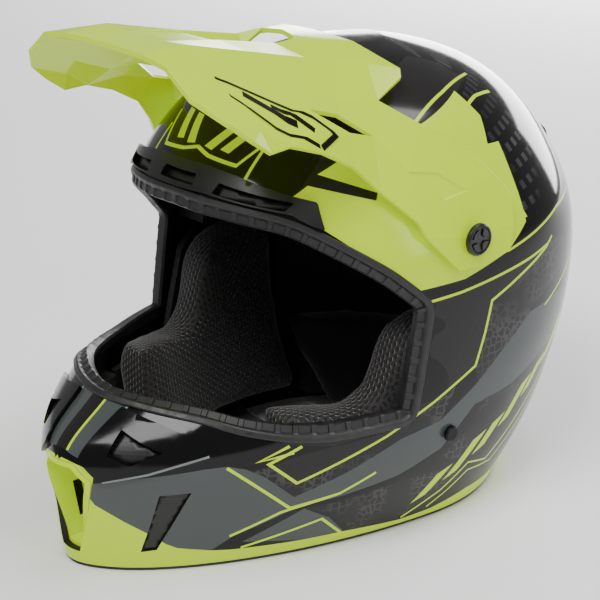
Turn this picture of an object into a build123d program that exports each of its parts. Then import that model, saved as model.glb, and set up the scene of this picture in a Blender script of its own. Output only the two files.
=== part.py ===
from build123d import *
import math
import os

os.makedirs("parts", exist_ok=True)

# Motocross helmet, millimetres. +Z up, wearer faces -Y, +X is the wearer's left.
# Origin: middle of the footprint, on the plane the bottom edge rests on.

# ---------------------------------------------------------------- driving sizes
SHELL_T = 3.5           # moulded shell wall
GAP = 0.4               # air between bodies that nest inside each other
BASE_TRIM_H = 1.6       # rubber under the shell's bottom edge
TRIM_PROUD = 1.8        # how far the eye-port rubber stands off the shell
TRIM_DEPTH = 8.0        # rubber reach inwards from the outer skin
TRIM_IN = 7.0           # rubber width inside the port edge
TRIM_OUT = 1.6          # rubber overlap on the shell outside the port edge
HINGE_Y, HINGE_Z = 15.0, 172.0      # peak side screws
STRAP_Y, STRAP_Z = 9.5, 59.0        # chin-strap rivets
PEAK_T = 2.6            # peak moulding wall
SCREW_D = 17.5          # side screw head
SCREW_HEAD_T = 3.2
HEAD_X = 121.4          # underside of the screw head, from the middle plane
SCREW_SHANK_D = 5.8
WEB_T = 1.8             # strap webbing thickness
WEB_W = 25.0            # strap webbing width
MESH_GAP = 0.3          # clearance round each mesh insert in its opening
TRIM_CLEAR = 0.4        # air between the eye-port rubber and the plates beside it
ROLL_T = 27.0           # neck roll, outside to inside
RIVET_HOLE_D = 5.0
RIVET_STEM_D = 4.4
RIVET_HEAD_D = 9.0
RIVET_TAIL_D = 6.4
RING_WIRE_D = 2.6       # strap ring stock

# Horizontal sections of the shell:
# height, front y, rear y, half width, y of the widest place, two outline powers
SECTIONS = [
    (-10.0, -160.0, 122.0, 89.0, 31.0, 1.6, 1.7),
    (0.0, -164.0, 126.0, 93.0, 30.0, 1.6, 1.7),
    (34.0, -168.0, 149.5, 106.0, 32.0, 1.8, 1.6),
    (70.0, -168.0, 164.5, 114.0, 39.0, 2.0, 1.5),
    (94.0, -138.0, 170.5, 118.0, 43.5, 2.0, 1.6),
    (120.0, -124.5, 173.5, 120.0, 47.5, 2.0, 1.6),
    (146.0, -112.5, 173.5, 120.0, 49.5, 2.0, 1.7),
    (171.0, -98.5, 167.5, 116.0, 49.5, 2.0, 1.9),
    (194.0, -86.5, 157.5, 105.0, 46.5, 2.0, 2.0),
    (213.0, -71.5, 144.5, 93.0, 43.5, 2.0, 2.0),
    (231.0, -49.0, 124.0, 76.0, 42.0, 2.0, 2.0),
    (243.0, -23.0, 101.0, 55.0, 42.0, 2.0, 2.0),
    (250.5, 3.5, 76.5, 33.0, 41.5, 2.0, 2.0),
    (254.5, 26.0, 58.5, 13.0, 41.5, 2.0, 2.0),
]
TOP = SECTIONS[-1][0]

# Head space inside the foam: same columns
CAVITY = [
    (-12.0, -66.0, 112.0, 84.0, 31.0, 2.0, 2.0),
    (40.0, -69.0, 122.0, 90.0, 31.0, 2.0, 2.0),
    (90.0, -73.0, 134.0, 92.0, 33.0, 2.0, 2.0),
    (130.0, -74.0, 137.0, 90.0, 35.0, 2.0, 2.0),
    (165.0, -69.0, 132.0, 86.0, 35.0, 2.0, 2.0),
    (190.0, -56.0, 118.0, 74.0, 35.0, 2.0, 2.0),
    (210.0, -32.0, 96.0, 55.0, 35.0, 2.0, 2.0),
    (222.0, -4.0, 72.0, 32.0, 35.0, 2.0, 2.0),
    (227.0, 20.0, 50.0, 12.0, 35.0, 2.0, 2.0),
]

# Eye port seen from the side, (y, z); the last three points lie in front of the shell
PORT = [(-7, 139), (-17, 73.5), (-64, 73), (-86, 76), (-105, 81), (-118, 86.5), (-141, 91),
        (-230, 101), (-230, 233.7), (-88, 192.5), (-64.5, 186), (-48, 174), (-28, 159)]


# ---------------------------------------------------------------- shape helpers
def outline(sec, inset, count=40):
    """Closed plan outline of one section, points spaced evenly along it."""
    z, front, rear, half, wide, p, q = sec
    front, rear, half = front + inset, rear - inset, half - inset
    pts = []
    steps = 240
    for i in range(steps + 1):
        a = math.pi * i / steps
        if a <= math.pi / 2:
            s = math.cos(a)
            pts.append((half * math.sqrt(max(0.0, 1 - s * s)), wide + s * (rear - wide)))
        else:
            s = -math.cos(a)
            pts.append((half * max(0.0, 1 - s ** p) ** (1 / q), wide - s * (wide - front)))
    run = [0.0]
    for (x0, y0), (x1, y1) in zip(pts, pts[1:]):
        run.append(run[-1] + math.hypot(x1 - x0, y1 - y0))
    half_n = count // 2
    side = []
    k = 0
    for i in range(half_n + 1):
        want = run[-1] * i / half_n
        while k < steps - 1 and run[k + 1] < want:
            k += 1
        t = (want - run[k]) / max(1e-9, run[k + 1] - run[k])
        side.append((pts[k][0] + t * (pts[k + 1][0] - pts[k][0]),
                     pts[k][1] + t * (pts[k + 1][1] - pts[k][1])))
    ring = side + [(-x, y) for x, y in side[-2:0:-1]]
    zz = z - inset * min(1.0, max(0.0, z / TOP)) ** 3
    return [(x, y, zz) for x, y in ring]


def loft_rings(sections, inset):
    wires = []
    # near the crown a deep inset leaves nothing of the smallest rings
    for sec in sections:
        if sec[3] - inset < 6 or (sec[2] - sec[1]) / 2 - inset < 8:
            continue
        ring = outline(sec, inset)
        n = len(ring)
        params = [i / n for i in range(n + 1)]
        edge = Edge.make_spline([Vector(*p) for p in ring], periodic=True, parameters=params)
        wires.append(Wire([edge]))
    return Solid.make_loft(wires)


_skins = {}


def skin(inset):
    """Solid bounded by the helmet surface moved in by inset; runs below z = 0."""
    if inset not in _skins:
        _skins[inset] = loft_rings(SECTIONS, inset)
    return _skins[inset]


_cavities = {}


def cavity(inset):
    if inset not in _cavities:
        _cavities[inset] = loft_rings(CAVITY, inset)
    return _cavities[inset]


def side_prism(points, x0=-160.0, x1=160.0, grow=0.0):
    """Prism along X from a side-view polygon given as (y, z)."""
    wire = Wire.make_polygon([Vector(x0, y, z) for y, z in points], close=True)
    face = Face(wire)
    if grow:
        face = Face(wire.offset_2d(grow, kind=Kind.INTERSECTION))
    return Solid.extrude(face, Vector(x1 - x0, 0, 0))


def front_prism(points, y0, y1, grow=0.0, side=1):
    """Prism along Y from a front-view polygon given as (x, z); side = -1 mirrors it."""
    wire = Wire.make_polygon([Vector(side * x, y0, z) for x, z in points], close=True)
    face = Face(wire)
    if grow:
        face = Face(wire.offset_2d(grow, kind=Kind.INTERSECTION))
    return Solid.extrude(face, Vector(0, y1 - y0, 0))


def block(x0, x1, y0, y1, z0, z1):
    return Pos((x0 + x1) / 2, (y0 + y1) / 2, (z0 + z1) / 2) * Box(x1 - x0, y1 - y0, z1 - z0)


def rod_x(y, z, d, x0, x1):
    """Cylinder along X."""
    return Pos((x0 + x1) / 2, y, z) * Rot(0, 90, 0) * Cylinder(d / 2, abs(x1 - x0))


def save(name, shape):
    """Keep the one real body and write it out."""
    solids = sorted(shape.solids(), key=lambda s: -s.volume)
    body = solids[0]
    body.label = name
    extra = sum(s.volume for s in solids[1:])
    print(f"{name}: solids {len(solids)} volume {body.volume:.0f} spare {extra:.1f} valid {body.is_valid}")
    export_step(body, f"parts/{name}.step")


port = side_prism(PORT)
above_base = block(-200, 200, -260, 260, BASE_TRIM_H, 300)

# ---------------------------------------------------------------- vent outlines
# brow openings, front view (x, z): centre one and one long slot each side
BROW_MID = [(-13, 196.2), (13, 196.2), (12, 201.4), (-12, 201.4)]
BROW_SIDE = [(25.5, 194.4), (61.0, 189.6), (63.0, 193.6), (27.0, 199.4)]
BROW_FRAME = [(-72, 176), (-30, 183), (30, 183), (72, 176), (78, 181), (71, 194), (34, 203.5), (16, 206),
              (-16, 206), (-34, 203.5), (-71, 194), (-78, 181)]
MOUTH = [(-10.5, 63.5), (10.5, 63.5), (20, 54), (19, 49), (7.5, 9), (-7.5, 9), (-19, 49), (-20, 54)]
SCOOP = [(17.5, 88.5), (13.1, 66.4), (24, 55.8), (42.3, 61.8), (61, 70.5), (62, 76.5), (40, 83.5)]
SCOOP_HOLE = [(25.4, 80.0), (47, 71.8), (36.2, 65.2), (26, 69)]
CHIN_SLOT = [(46.3, 47.8), (57.1, 49.3), (40.3, 13.3), (34.6, 12.1)]
EXHAUST = [(26, 196), (52, 190), (47, 178), (30, 181)]
EXHAUST_HOLE = [(30, 192.5), (47.5, 188.3), (44.5, 181), (32.5, 183.5)]

# ---------------------------------------------------------------- outer shell
shell = (skin(0.0) - skin(SHELL_T)) & above_base
shell = shell - port
shell = shell - front_prism(BROW_MID, -120, -60)
shell = shell - front_prism(MOUTH, -200, -110)
for s in (1, -1):
    shell = shell - front_prism(BROW_SIDE, -120, -40, side=s)
    shell = shell - front_prism(SCOOP_HOLE, -200, -110, side=s)
    shell = shell - front_prism(CHIN_SLOT, -200, -100, side=s)
    shell = shell - front_prism(EXHAUST_HOLE, 100, 200, side=s)
    shell = shell - rod_x(HINGE_Y, HINGE_Z, 9.0, s * 100, s * 130)
    shell = shell - rod_x(STRAP_Y, STRAP_Z, RIVET_HOLE_D, s * 95, s * 130)
save("shell_outer", shell)

# ---------------------------------------------------------------- eye-port rubber
trim_zone = side_prism(PORT, grow=TRIM_OUT) - side_prism(PORT, grow=-TRIM_IN)
band = (skin(-TRIM_PROUD) - skin(TRIM_DEPTH)) & trim_zone
groove = (skin(-0.25) - skin(SHELL_T + 0.25)) - side_prism(PORT, grow=-0.3)
save("eyeport_trim", band - groove)

# ---------------------------------------------------------------- bottom rubber
foot = (skin(0.0) - skin(6.2)) & block(-200, 200, -260, 260, 0, BASE_TRIM_H - 0.2)
lip = (skin(SHELL_T + 0.3) - skin(6.2)) & block(-200, 200, -260, 260, 0.5, 9.0)
save("base_trim", foot + lip)

# ---------------------------------------------------------------- foam crown
CHEEK_TOP = 128.0
crown = (skin(SHELL_T + GAP) - cavity(0.0)) & block(-200, 200, -260, 260, 12, 300)
crown = crown - side_prism(PORT, grow=9.0)
crown = crown - block(-200, 200, -260, 62, -20, CHEEK_TOP + 4)      # cheek and chin bays
crown = crown - block(-45, 45, -120, -40, 120, 183)                 # forehead air channel
for s in (1, -1):
    crown = crown - rod_x(HINGE_Y, HINGE_Z, 16.0, s * 100, s * 130)
    crown = crown - front_prism(EXHAUST_HOLE, 120, 200, side=s)
save("eps_crown_liner", crown)

# ---------------------------------------------------------------- foam in the chin bar
chin = (skin(SHELL_T + GAP) - skin(20.0)) & block(-200, 200, -260, -82, 12, 64)
chin = chin - front_prism(MOUTH, -200, -100, grow=3.0)
chin = chin - block(-24, 24, -200, -148, 0, 60)
for s in (1, -1):
    chin = chin - front_prism(CHIN_SLOT, -200, -90, grow=1.0, side=s)
save("eps_chin_liner", chin)

# ---------------------------------------------------------------- comfort liner
liner = (cavity(GAP) - cavity(7.5)) & block(-200, 200, -260, 260, 134, 300)
liner = liner - side_prism(PORT, grow=9.0)
save("comfort_liner", liner)

# ---------------------------------------------------------------- neck roll
roll = (cavity(GAP) - cavity(ROLL_T)) & block(-200, 200, 66, 260, 5, 60)
save("neck_roll", roll)

# ---------------------------------------------------------------- cheek pads with foam backs
CHEEK = [(58, 14), (58, CHEEK_TOP), (6, CHEEK_TOP), (-8, 118), (-26, 82), (-78, 80), (-78, 14)]
CORE = [(54, 30), (54, CHEEK_TOP - 4), (8, CHEEK_TOP - 4), (-6, 114), (-24, 62), (-76, 62), (-76, 30)]
pad_zone = side_prism(CHEEK)
core_zone = side_prism(CORE)
pad_ring = (skin(15.4) - skin(42.0)) & pad_zone
core_ring = (skin(10.6) - skin(15.0)) & core_zone
for s, name in ((1, "left"), (-1, "right")):
    half = block(20 * s if s > 0 else -160, 160 if s > 0 else -20, -200, 200, -20, 260)
    save(f"cheek_pad_{name}", pad_ring & half)
    save(f"cheek_core_{name}", core_ring & half)

# ---------------------------------------------------------------- brow vent
frame = (skin(-3.2) - skin(-0.3)) & front_prism(BROW_FRAME, -130, -30)
frame = frame - side_prism(PORT, grow=TRIM_OUT + TRIM_CLEAR)
frame = frame - front_prism(BROW_MID, -130, -40)
for s in (1, -1):
    frame = frame - front_prism(BROW_SIDE, -130, -40, side=s)
save("brow_vent_frame", frame)
mesh_layer = skin(0.8) - skin(2.4)
save("brow_mesh_centre", mesh_layer & front_prism(BROW_MID, -120, -60, grow=-MESH_GAP))
for s, name in ((1, "left"), (-1, "right")):
    save(f"brow_mesh_{name}", mesh_layer & front_prism(BROW_SIDE, -120, -40, grow=-MESH_GAP, side=s))

# ---------------------------------------------------------------- mouth vent
duct = front_prism(MOUTH, -200, -140, grow=-0.35) & skin(0.4)
duct = duct - front_prism(MOUTH, -200, -143.5, grow=-2.8)
duct = duct - front_prism([(-9, 44), (9, 44), (3, 17), (-3, 17)], -200, -130)
for s in (1, -1):
    duct = duct - Pos(s * 11.2, -149, 31) * Rot(0, -16.3 * s, 0) * Box(12, 7.0, 26)
save("mouth_vent_duct", duct)
grille = front_prism([(-12, 46), (12, 46), (4.5, 14), (-4.5, 14)], -139.6, -138.0)
save("mouth_vent_grille", grille)

# ---------------------------------------------------------------- side scoops and chin slots
for s, name in ((1, "left"), (-1, "right")):
    scoop = (skin(-2.4) - skin(-0.3)) & front_prism(SCOOP, -200, -100, side=s)
    scoop = scoop - front_prism(SCOOP_HOLE, -200, -100, side=s)
    scoop = scoop - side_prism(PORT, grow=TRIM_OUT + TRIM_CLEAR)
    save(f"chin_scoop_{name}", scoop)
    scoop_fill = front_prism(SCOOP_HOLE, -200, -110, grow=-MESH_GAP, side=s)
    save(f"scoop_mesh_{name}", (skin(1.2) - skin(2.8)) & scoop_fill)
    slot_fill = front_prism(CHIN_SLOT, -200, -100, grow=-MESH_GAP, side=s)
    save(f"chin_slot_mesh_{name}", (skin(1.0) - skin(2.6)) & slot_fill)
    cowl = (skin(-2.8) - skin(-0.3)) & front_prism(EXHAUST, 100, 200, side=s)
    cowl = cowl - front_prism(EXHAUST_HOLE, 100, 200, side=s)
    save(f"rear_exhaust_{name}", cowl)
    exhaust_fill = front_prism(EXHAUST_HOLE, 100, 200, grow=-MESH_GAP, side=s)
    save(f"exhaust_mesh_{name}", mesh_layer & exhaust_fill)

# ---------------------------------------------------------------- peak
# Corner points of the wearer's-left half of the moulded visor; mirrored for the other half
V = {
    "F0": (0, -130.5, 278.6), "F1": (14, -130.7, 278.4), "F2": (32, -131, 277.8), "F3": (50, -131.5, 275.5),
    "F4": (67, -130, 262.5), "F5": (82, -119, 251), "F6": (86, -107, 241), "F7": (86, -95.4, 232.5),
    "A0": (0, -104, 277.0), "A1": (14, -104, 277.4), "A2": (32, -105, 279.0), "A3": (52, -98, 265.0),
    "A4": (70, -99, 253.5), "A5": (80, -98, 244.0),
    "B0": (0, -69, 271.2), "BB": (12, -69, 271.2), "B1": (15, -69, 272.6), "B2": (32, -65, 269.0),
    "B3": (56, -72, 254.0), "B4": (72, -74, 244.0), "B5": (85, -81.5, 233.5),
    "C0": (0, -30, 257.5), "CC": (12, -30, 257.5), "C1": (15, -30, 264.5), "C2": (34, -26, 259.5),
    "C3": (58, -46, 249.0), "S1": (70, -56.7, 244.8), "C5": (80, -60, 236.5), "E1": (87, -62, 226.5),
    "D0": (0, -12, 266.5), "DD": (12, -15, 265.8), "D1": (15, -17, 264.8), "D2": (40, -9, 256.6),
    "D3": (62, -30, 243.5), "S2": (72, -38.5, 239.0), "S3": (83, -24, 227.0), "S4": (80.5, -38, 231.0),
    "E2": (89, -43.5, 216.0), "E3": (95.5, -30, 201.0), "R5": (48.6, 4.9, 254.0), "N": (67.7, -5.6, 239.6),
    "T0": (0, 12, 262.6), "TT": (13, 12.5, 262.2), "T1": (28, 14.6, 260.6), "T2": (60.5, 17.7, 251.2),
    "T3": (65, 13.9, 248.0), "K1": (84, 4.4, 230.4), "K2": (91, 11.1, 225.0), "Q4": (103, 28.7, 212.6),
    "Q3": (110.5, 38.2, 200.6), "Q2": (116.5, 46.3, 189.5), "Q1": (122.5, 42.5, 174.1),
    "W1": (125, 37.5, 161.1),
    "W2": (123.4, 19.2, 157.0), "E6": (120.4, 4.1, 156.6), "E5": (112.5, -13, 176.6),
    "E4": (108.5, -15.5, 184.6),
    "M1": (96.4, -11.5, 208.4), "M2": (102.4, 3.5, 206.2), "M3": (111.2, 17.3, 195.6),
    "M4": (109.4, 2.1, 192.9),
    "H": (120.4, 15.0, 172.0),
}
QUADS = [
    "F0 F1 A1 A0", "F1 F2 A2 A1", "F2 F3 A3 A2", "F3 F4 A4 A3", "F4 F5 A5 A4", "F5 F6 A5", "F6 F7 A5",
    "A0 A1 BB B0", "A1 B1 BB", "A1 A2 B2 B1", "A2 A3 B3 B2", "A3 A4 B4 B3", "A4 A5 B5 B4", "A5 F7 B5",
    "B0 BB CC C0", "BB B1 C1 CC", "B1 B2 C2 C1", "B2 B3 C3 C2", "B3 B4 S1 C3", "B4 B5 C5 S1", "B5 E1 C5",
    "CC C1 D1 DD", "C1 C2 D2 D1", "C2 C3 D3 D2", "C3 S1 S2 D3", "S1 C5 S4", "C5 E1 E2 S4", "S4 E2 E3 S3",
    "D3 S2 S3 N", "D2 D3 N R5", "D0 DD TT T0", "DD D1 T1 TT", "D1 D2 R5 T1", "R5 T2 T1", "R5 N T3 T2",
    "N S3 M1 K1", "K1 M1 M2 K2", "K2 M2 Q4", "M2 M3 Q3 Q4", "S3 E3 M1", "M1 E3 E4 M4", "M1 M4 M3 M2",
    "M4 E4 E5", "M4 E5 H", "E5 E6 H", "E6 W2 H", "W2 W1 H", "W1 Q1 H", "Q1 Q2 H", "Q2 Q3 H",
    "Q3 M3 H", "M3 M4 H",
]
# Openings left in the sheet: C0 CC DD D0, the intake under the rear hump,
# and S1 S2 S3 S4, a slot in each flank.


def peak_sheet():
    """Faceted sheet of even wall closed into one solid."""
    idx, pts = {}, []

    def vid(name, s):
        x, y, z = V[name]
        key = (name, s if x > 0 else 1)
        if key not in idx:
            idx[key] = len(pts)
            pts.append(Vector(s * x, y, z))
        return idx[key]

    tris = []
    for q in QUADS:
        names = q.split()
        for s in (1, -1):
            ids = [vid(n, s) for n in names]
            if s < 0:
                ids.reverse()
            for i in range(1, len(ids) - 1):
                tris.append((ids[0], ids[i], ids[i + 1]))
    normals = [Vector(0, 0, 0) for _ in pts]
    for a, b, c in tris:
        n = (pts[b] - pts[a]).cross(pts[c] - pts[a])
        for i in (a, b, c):
            normals[i] = normals[i] + n
    # walking order gives outward normals pointing up and out
    flip = -1 if normals[idx[("A2", 1)]].Z < 0 else 1
    low = [p - n.normalized() * (flip * PEAK_T) for p, n in zip(pts, normals)]
    faces, count = [], {}
    for a, b, c in tris:
        faces.append(Face(Wire.make_polygon([pts[a], pts[b], pts[c]], close=True)))
        faces.append(Face(Wire.make_polygon([low[a], low[c], low[b]], close=True)))
        for e in ((a, b), (b, c), (c, a)):
            count[e] = count.get(e, 0) + 1
    for (a, b) in list(count):
        if (b, a) not in count:
            faces.append(Face(Wire.make_polygon([pts[b], pts[a], low[a]], close=True)))
            faces.append(Face(Wire.make_polygon([pts[b], low[a], low[b]], close=True)))
    solid = Solid(Shell(faces))
    if solid.volume < 0:
        solid = Solid(Shell([-f for f in faces]))
    return solid


peak = peak_sheet()
for s in (1, -1):
    boss = rod_x(HINGE_Y, HINGE_Z, 24.0, s * 117.4, s * 121.2)
    peak = peak + boss
    peak = peak - rod_x(HINGE_Y, HINGE_Z, SCREW_SHANK_D + 0.8, s * 100, s * 140)
    peak = peak - rod_x(HINGE_Y, HINGE_Z, 25.0, s * 121.2, s * 140)
    peak = peak - rod_x(HINGE_Y, HINGE_Z, 25.0, s * 100, s * 117.4)
save("peak", peak)

# ---------------------------------------------------------------- side screws, washers, nuts
for s, name in ((1, "left"), (-1, "right")):
    head = rod_x(HINGE_Y, HINGE_Z, SCREW_D, s * HEAD_X, s * (HEAD_X + SCREW_HEAD_T))
    head = chamfer(head.edges().group_by(Axis.X)[-1 if s > 0 else 0], 0.7)
    shank = rod_x(HINGE_Y, HINGE_Z, SCREW_SHANK_D, s * 104.0, s * (HEAD_X + 0.2))
    screw = head + shank
    xf = s * (HEAD_X + SCREW_HEAD_T)
    screw = screw - Pos(xf, HINGE_Y, HINGE_Z) * Box(3.2, 13.0, 2.0)
    screw = screw - Pos(xf, HINGE_Y, HINGE_Z) * Box(3.2, 2.0, 13.0)
    save(f"peak_screw_{name}", screw)
    washer = rod_x(HINGE_Y, HINGE_Z, 14.0, s * 115.3, s * 117.1)
    washer = washer - rod_x(HINGE_Y, HINGE_Z, SCREW_SHANK_D + 0.8, s * 110, s * 120)
    save(f"peak_washer_{name}", washer)
    nut = rod_x(HINGE_Y, HINGE_Z, 8.2, s * 101.5, s * 111.5)
    nut = nut + rod_x(HINGE_Y, HINGE_Z, 12.0, s * 101.5, s * 104.2)
    nut = nut - rod_x(HINGE_Y, HINGE_Z, SCREW_SHANK_D + 0.6, s * 100, s * 120)
    save(f"peak_nut_{name}", nut)

# ---------------------------------------------------------------- chin strap
def web(path, y0, y1, t=WEB_T):
    """Webbing of thickness t following an (x, z) path."""
    left, right = [], []
    n = len(path)
    for i, (x, z) in enumerate(path):
        x0, z0 = path[max(0, i - 1)]
        x1, z1 = path[min(n - 1, i + 1)]
        d = math.hypot(x1 - x0, z1 - z0)
        nx, nz = -(z1 - z0) / d * t / 2, (x1 - x0) / d * t / 2
        left.append((x + nx, z + nz))
        right.append((x - nx, z - nz))
    ring = left + right[::-1]
    wire = Wire.make_polygon([Vector(x, y0, z) for x, z in ring], close=True)
    return Solid.extrude(Face(wire), Vector(0, y1 - y0, 0))


def bend(points, steps=5):
    """Round the corners of a path."""
    out = [points[0]]
    for a, b, c in zip(points, points[1:], points[2:]):
        for i in range(steps + 1):
            t = i / steps
            r = 0.32
            p0 = (b[0] + (a[0] - b[0]) * r, b[1] + (a[1] - b[1]) * r)
            p2 = (b[0] + (c[0] - b[0]) * r, b[1] + (c[1] - b[1]) * r)
            out.append(((1 - t) ** 2 * p0[0] + 2 * t * (1 - t) * b[0] + t * t * p2[0],
                        (1 - t) ** 2 * p0[1] + 2 * t * (1 - t) * b[1] + t * t * p2[1]))
    out.append(points[-1])
    return out


wy0, wy1 = STRAP_Y - WEB_W / 2, STRAP_Y + WEB_W / 2
down_l = [(104.6, 66), (103.5, 59), (101.7, 50), (95.8, 30), (91.6, 20), (85.5, 11.6), (77.0, 8.6),
          (60, 6.6)]
# holder side: ends in an eye round the two rings
eye_x, eye_z = -30.0, 8.4
left_path = bend([(-x, z) for x, z in down_l] + [(eye_x - 8.0, 5.4), (eye_x - 5.6, 5.4)])
strap_r = web(left_path, wy0, wy1)
eye = Pos(eye_x, STRAP_Y, eye_z) * (Box(11.4, WEB_W, 6.8) - Box(7.8, WEB_W + 2, 3.4))
strap_r = strap_r + eye
strap_r = strap_r - rod_x(STRAP_Y, STRAP_Z, RIVET_HOLE_D, -120, -95)
save("strap_right", strap_r)
# long side: under the rings, up through them and back over the top
through_ring = [(0.0, 3.4), (-17.0, 3.2), (-21.2, 4.4), (-21.2, 12.2), (-17.0, 13.6), (6.0, 12.8),
                (30.0, 12.4)]
long_path = bend(down_l + through_ring, 4)
strap_l = web(long_path, wy0, wy1)
strap_l = strap_l - rod_x(STRAP_Y, STRAP_Z, RIVET_HOLE_D, 95, 120)
save("strap_left", strap_l)


def d_ring(bar_x, bow_x, z):
    """Wire D lying flat, straight bar along Y."""
    r = RING_WIRE_D / 2
    hy = WEB_W / 2 + 2.4
    body = None
    pts = [(bar_x, STRAP_Y - hy), (bar_x, STRAP_Y + hy), (bow_x - 6, STRAP_Y + hy),
           (bow_x, STRAP_Y + hy - 6),
           (bow_x, STRAP_Y - hy + 6), (bow_x - 6, STRAP_Y - hy)]
    for (x0, y0), (x1, y1) in zip(pts, pts[1:] + pts[:1]):
        length = math.hypot(x1 - x0, y1 - y0)
        ang = math.degrees(math.atan2(y1 - y0, x1 - x0))
        seg = Pos((x0 + x1) / 2, (y0 + y1) / 2, z) * Rot(0, 0, ang) * Rot(0, 90, 0) * Cylinder(r, length)
        ball = Pos(x0, y0, z) * Sphere(r)
        body = seg + ball if body is None else body + seg + ball
    return body


save("strap_d_ring", d_ring(eye_x, -12.0, eye_z))

# ---------------------------------------------------------------- strap snap and rivets
snap = Pos(22.0, STRAP_Y, 14.6) * Cylinder(6.2, 2.0)
snap = fillet(snap.edges().group_by(Axis.Z)[-1], 0.9)
save("strap_snap", snap)
for s, name in ((1, "left"), (-1, "right")):
    head = rod_x(STRAP_Y, STRAP_Z, RIVET_HEAD_D, s * 111.7, s * 113.7)
    head = chamfer(head.edges().group_by(Axis.X)[-1 if s > 0 else 0], 0.8)
    stem = rod_x(STRAP_Y, STRAP_Z, RIVET_STEM_D, s * 101.5, s * 112.0)
    tail = rod_x(STRAP_Y, STRAP_Z, RIVET_TAIL_D, s * 101.2, s * 101.8)
    save(f"strap_rivet_{name}", head + stem + tail)
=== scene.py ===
import math

import bmesh
import bpy
import numpy as np
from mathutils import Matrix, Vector, kdtree
from mathutils.bvhtree import BVHTree
from mathutils.geometry import delaunay_2d_cdt


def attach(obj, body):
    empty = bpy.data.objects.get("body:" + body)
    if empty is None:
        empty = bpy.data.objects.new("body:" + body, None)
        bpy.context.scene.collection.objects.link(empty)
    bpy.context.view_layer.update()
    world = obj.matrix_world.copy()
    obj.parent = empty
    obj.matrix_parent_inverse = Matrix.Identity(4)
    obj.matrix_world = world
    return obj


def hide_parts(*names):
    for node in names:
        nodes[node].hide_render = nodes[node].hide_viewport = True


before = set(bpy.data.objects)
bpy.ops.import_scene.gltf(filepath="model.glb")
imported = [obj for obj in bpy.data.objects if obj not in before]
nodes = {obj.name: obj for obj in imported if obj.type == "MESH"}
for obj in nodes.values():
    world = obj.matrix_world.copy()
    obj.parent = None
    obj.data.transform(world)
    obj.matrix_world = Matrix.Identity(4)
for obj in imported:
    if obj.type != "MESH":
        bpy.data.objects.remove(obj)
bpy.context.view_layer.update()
mm = 0.001


# colours and materials
def tint(hexCode):
    # sRGB hex to linear RGBA.
    out = []
    for i in (0, 2, 4):
        c = int(hexCode[i:i + 2], 16) / 255
        out.append(c / 12.92 if c <= 0.04045 else ((c + 0.055) / 1.055) ** 2.4)
    return (*out, 1.0)


def feed(tree, node, settings):
    # Sets up a node by property, socket name or number; a node or socket handed in is linked.
    for key, value in settings.items():
        if isinstance(value, bpy.types.Node):
            value = value.outputs[0]
        if key == "stops":
            elements = node.color_ramp.elements
            while len(elements) < len(value):
                elements.new(0.5)
            for element, (place, colour) in zip(elements, value):
                element.position = place
                element.color = colour
        elif not isinstance(key, int) and key not in node.inputs:
            setattr(node, key, value)
        elif isinstance(value, bpy.types.NodeSocket):
            tree.links.new(value, node.inputs[key])
        else:
            node.inputs[key].default_value = value


def addNode(tree, kind, settings=None):
    node = tree.nodes.new("ShaderNode" + kind)
    feed(tree, node, settings or {})
    return node


def newMaterial(name, base):
    mat = bpy.data.materials.new(name)
    mat.use_nodes = True
    tree = mat.node_tree
    tree.nodes.clear()
    bsdf = addNode(tree, "BsdfPrincipled", base)
    addNode(tree, "OutputMaterial", {0: bsdf})
    return mat, tree, bsdf, addNode(tree, "TexCoord").outputs["Object"]


dark, light = (0, 0, 0, 1), (1, 1, 1, 1)


def driftingGloss(tree, spot, scale, low, high):
    # Roughness that drifts a little over the surface, as handled gloss does.
    noise = addNode(tree, "TexNoise", {"Scale": scale, "Detail": 4.0, "Vector": spot})
    stops = [(0.35, (low, low, low, 1)), (0.7, (high, high, high, 1))]
    return addNode(tree, "ValToRGB", {0: noise, "stops": stops})


def repeatOffset(tree, value, pitch):
    # How far a point lies from the middle of its own repeat, 0 to 0.5.
    for operation, other in (("MULTIPLY", 1 / pitch), ("FRACT", 0.0), ("SUBTRACT", 0.5), ("ABSOLUTE", 0.0)):
        value = addNode(tree, "Math", {"operation": operation, 0: value, 1: other})
    return value


def twoColours(tree, bsdf, share, under, over):
    mix = addNode(tree, "Mix", {"data_type": "RGBA", 0: share, 6: tint(under), 7: tint(over)})
    feed(tree, bsdf, {"Base Color": mix.outputs[2]})


# painted shell colours under one clear coat; the coat gives the long soft highlights
paints = {
    "black": {"hex": "050505", "rough": (0.07, 0.11)},
    "charcoal": {"hex": "1d1b1b", "rough": (0.13, 0.18)},
    "grey": {"hex": "464b4b", "rough": (0.13, 0.18)},
    # the yellow carries a painted glow, an emission that the other paints do not have
    "yellow": {"hex": "a4c400", "rough": (0.18, 0.24), "paintedGlow": "dcf400", "paintedGlowStrength": 0.28},
    "smoke": {"hex": "121112", "rough": (0.10, 0.15)},
    # edge is a painted highlight: a light grey laid as stripes along the bevelled edges of the chin scoop
    "edge": {"hex": "8d9192", "rough": (0.12, 0.18)},
}


def paint(key):
    spec = paints[key]
    mat, tree, bsdf, spot = newMaterial("paintClearCoat" + key.capitalize(), {
        "Base Color": tint(spec["hex"]), "IOR": 1.5, "Specular IOR Level": 0.3})
    orangePeel = addNode(tree, "TexNoise", {"Scale": 900.0, "Detail": 2.0, "Vector": spot})
    feed(tree, bsdf, {
        "Roughness": driftingGloss(tree, spot, 60.0, *spec["rough"]),
        "Normal": addNode(tree, "Bump", {"Strength": 0.05, "Distance": 0.00005, "Height": orangePeel})})
    if "paintedGlow" in spec:
        # painted glow: an emission on the dayglo yellow so that it looks brighter than the lamps alone light
        # it
        feed(tree, bsdf, {"Emission Color": tint(spec["paintedGlow"]), "Emission Strength": spec["paintedGlowStrength"]})
    return mat


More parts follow.
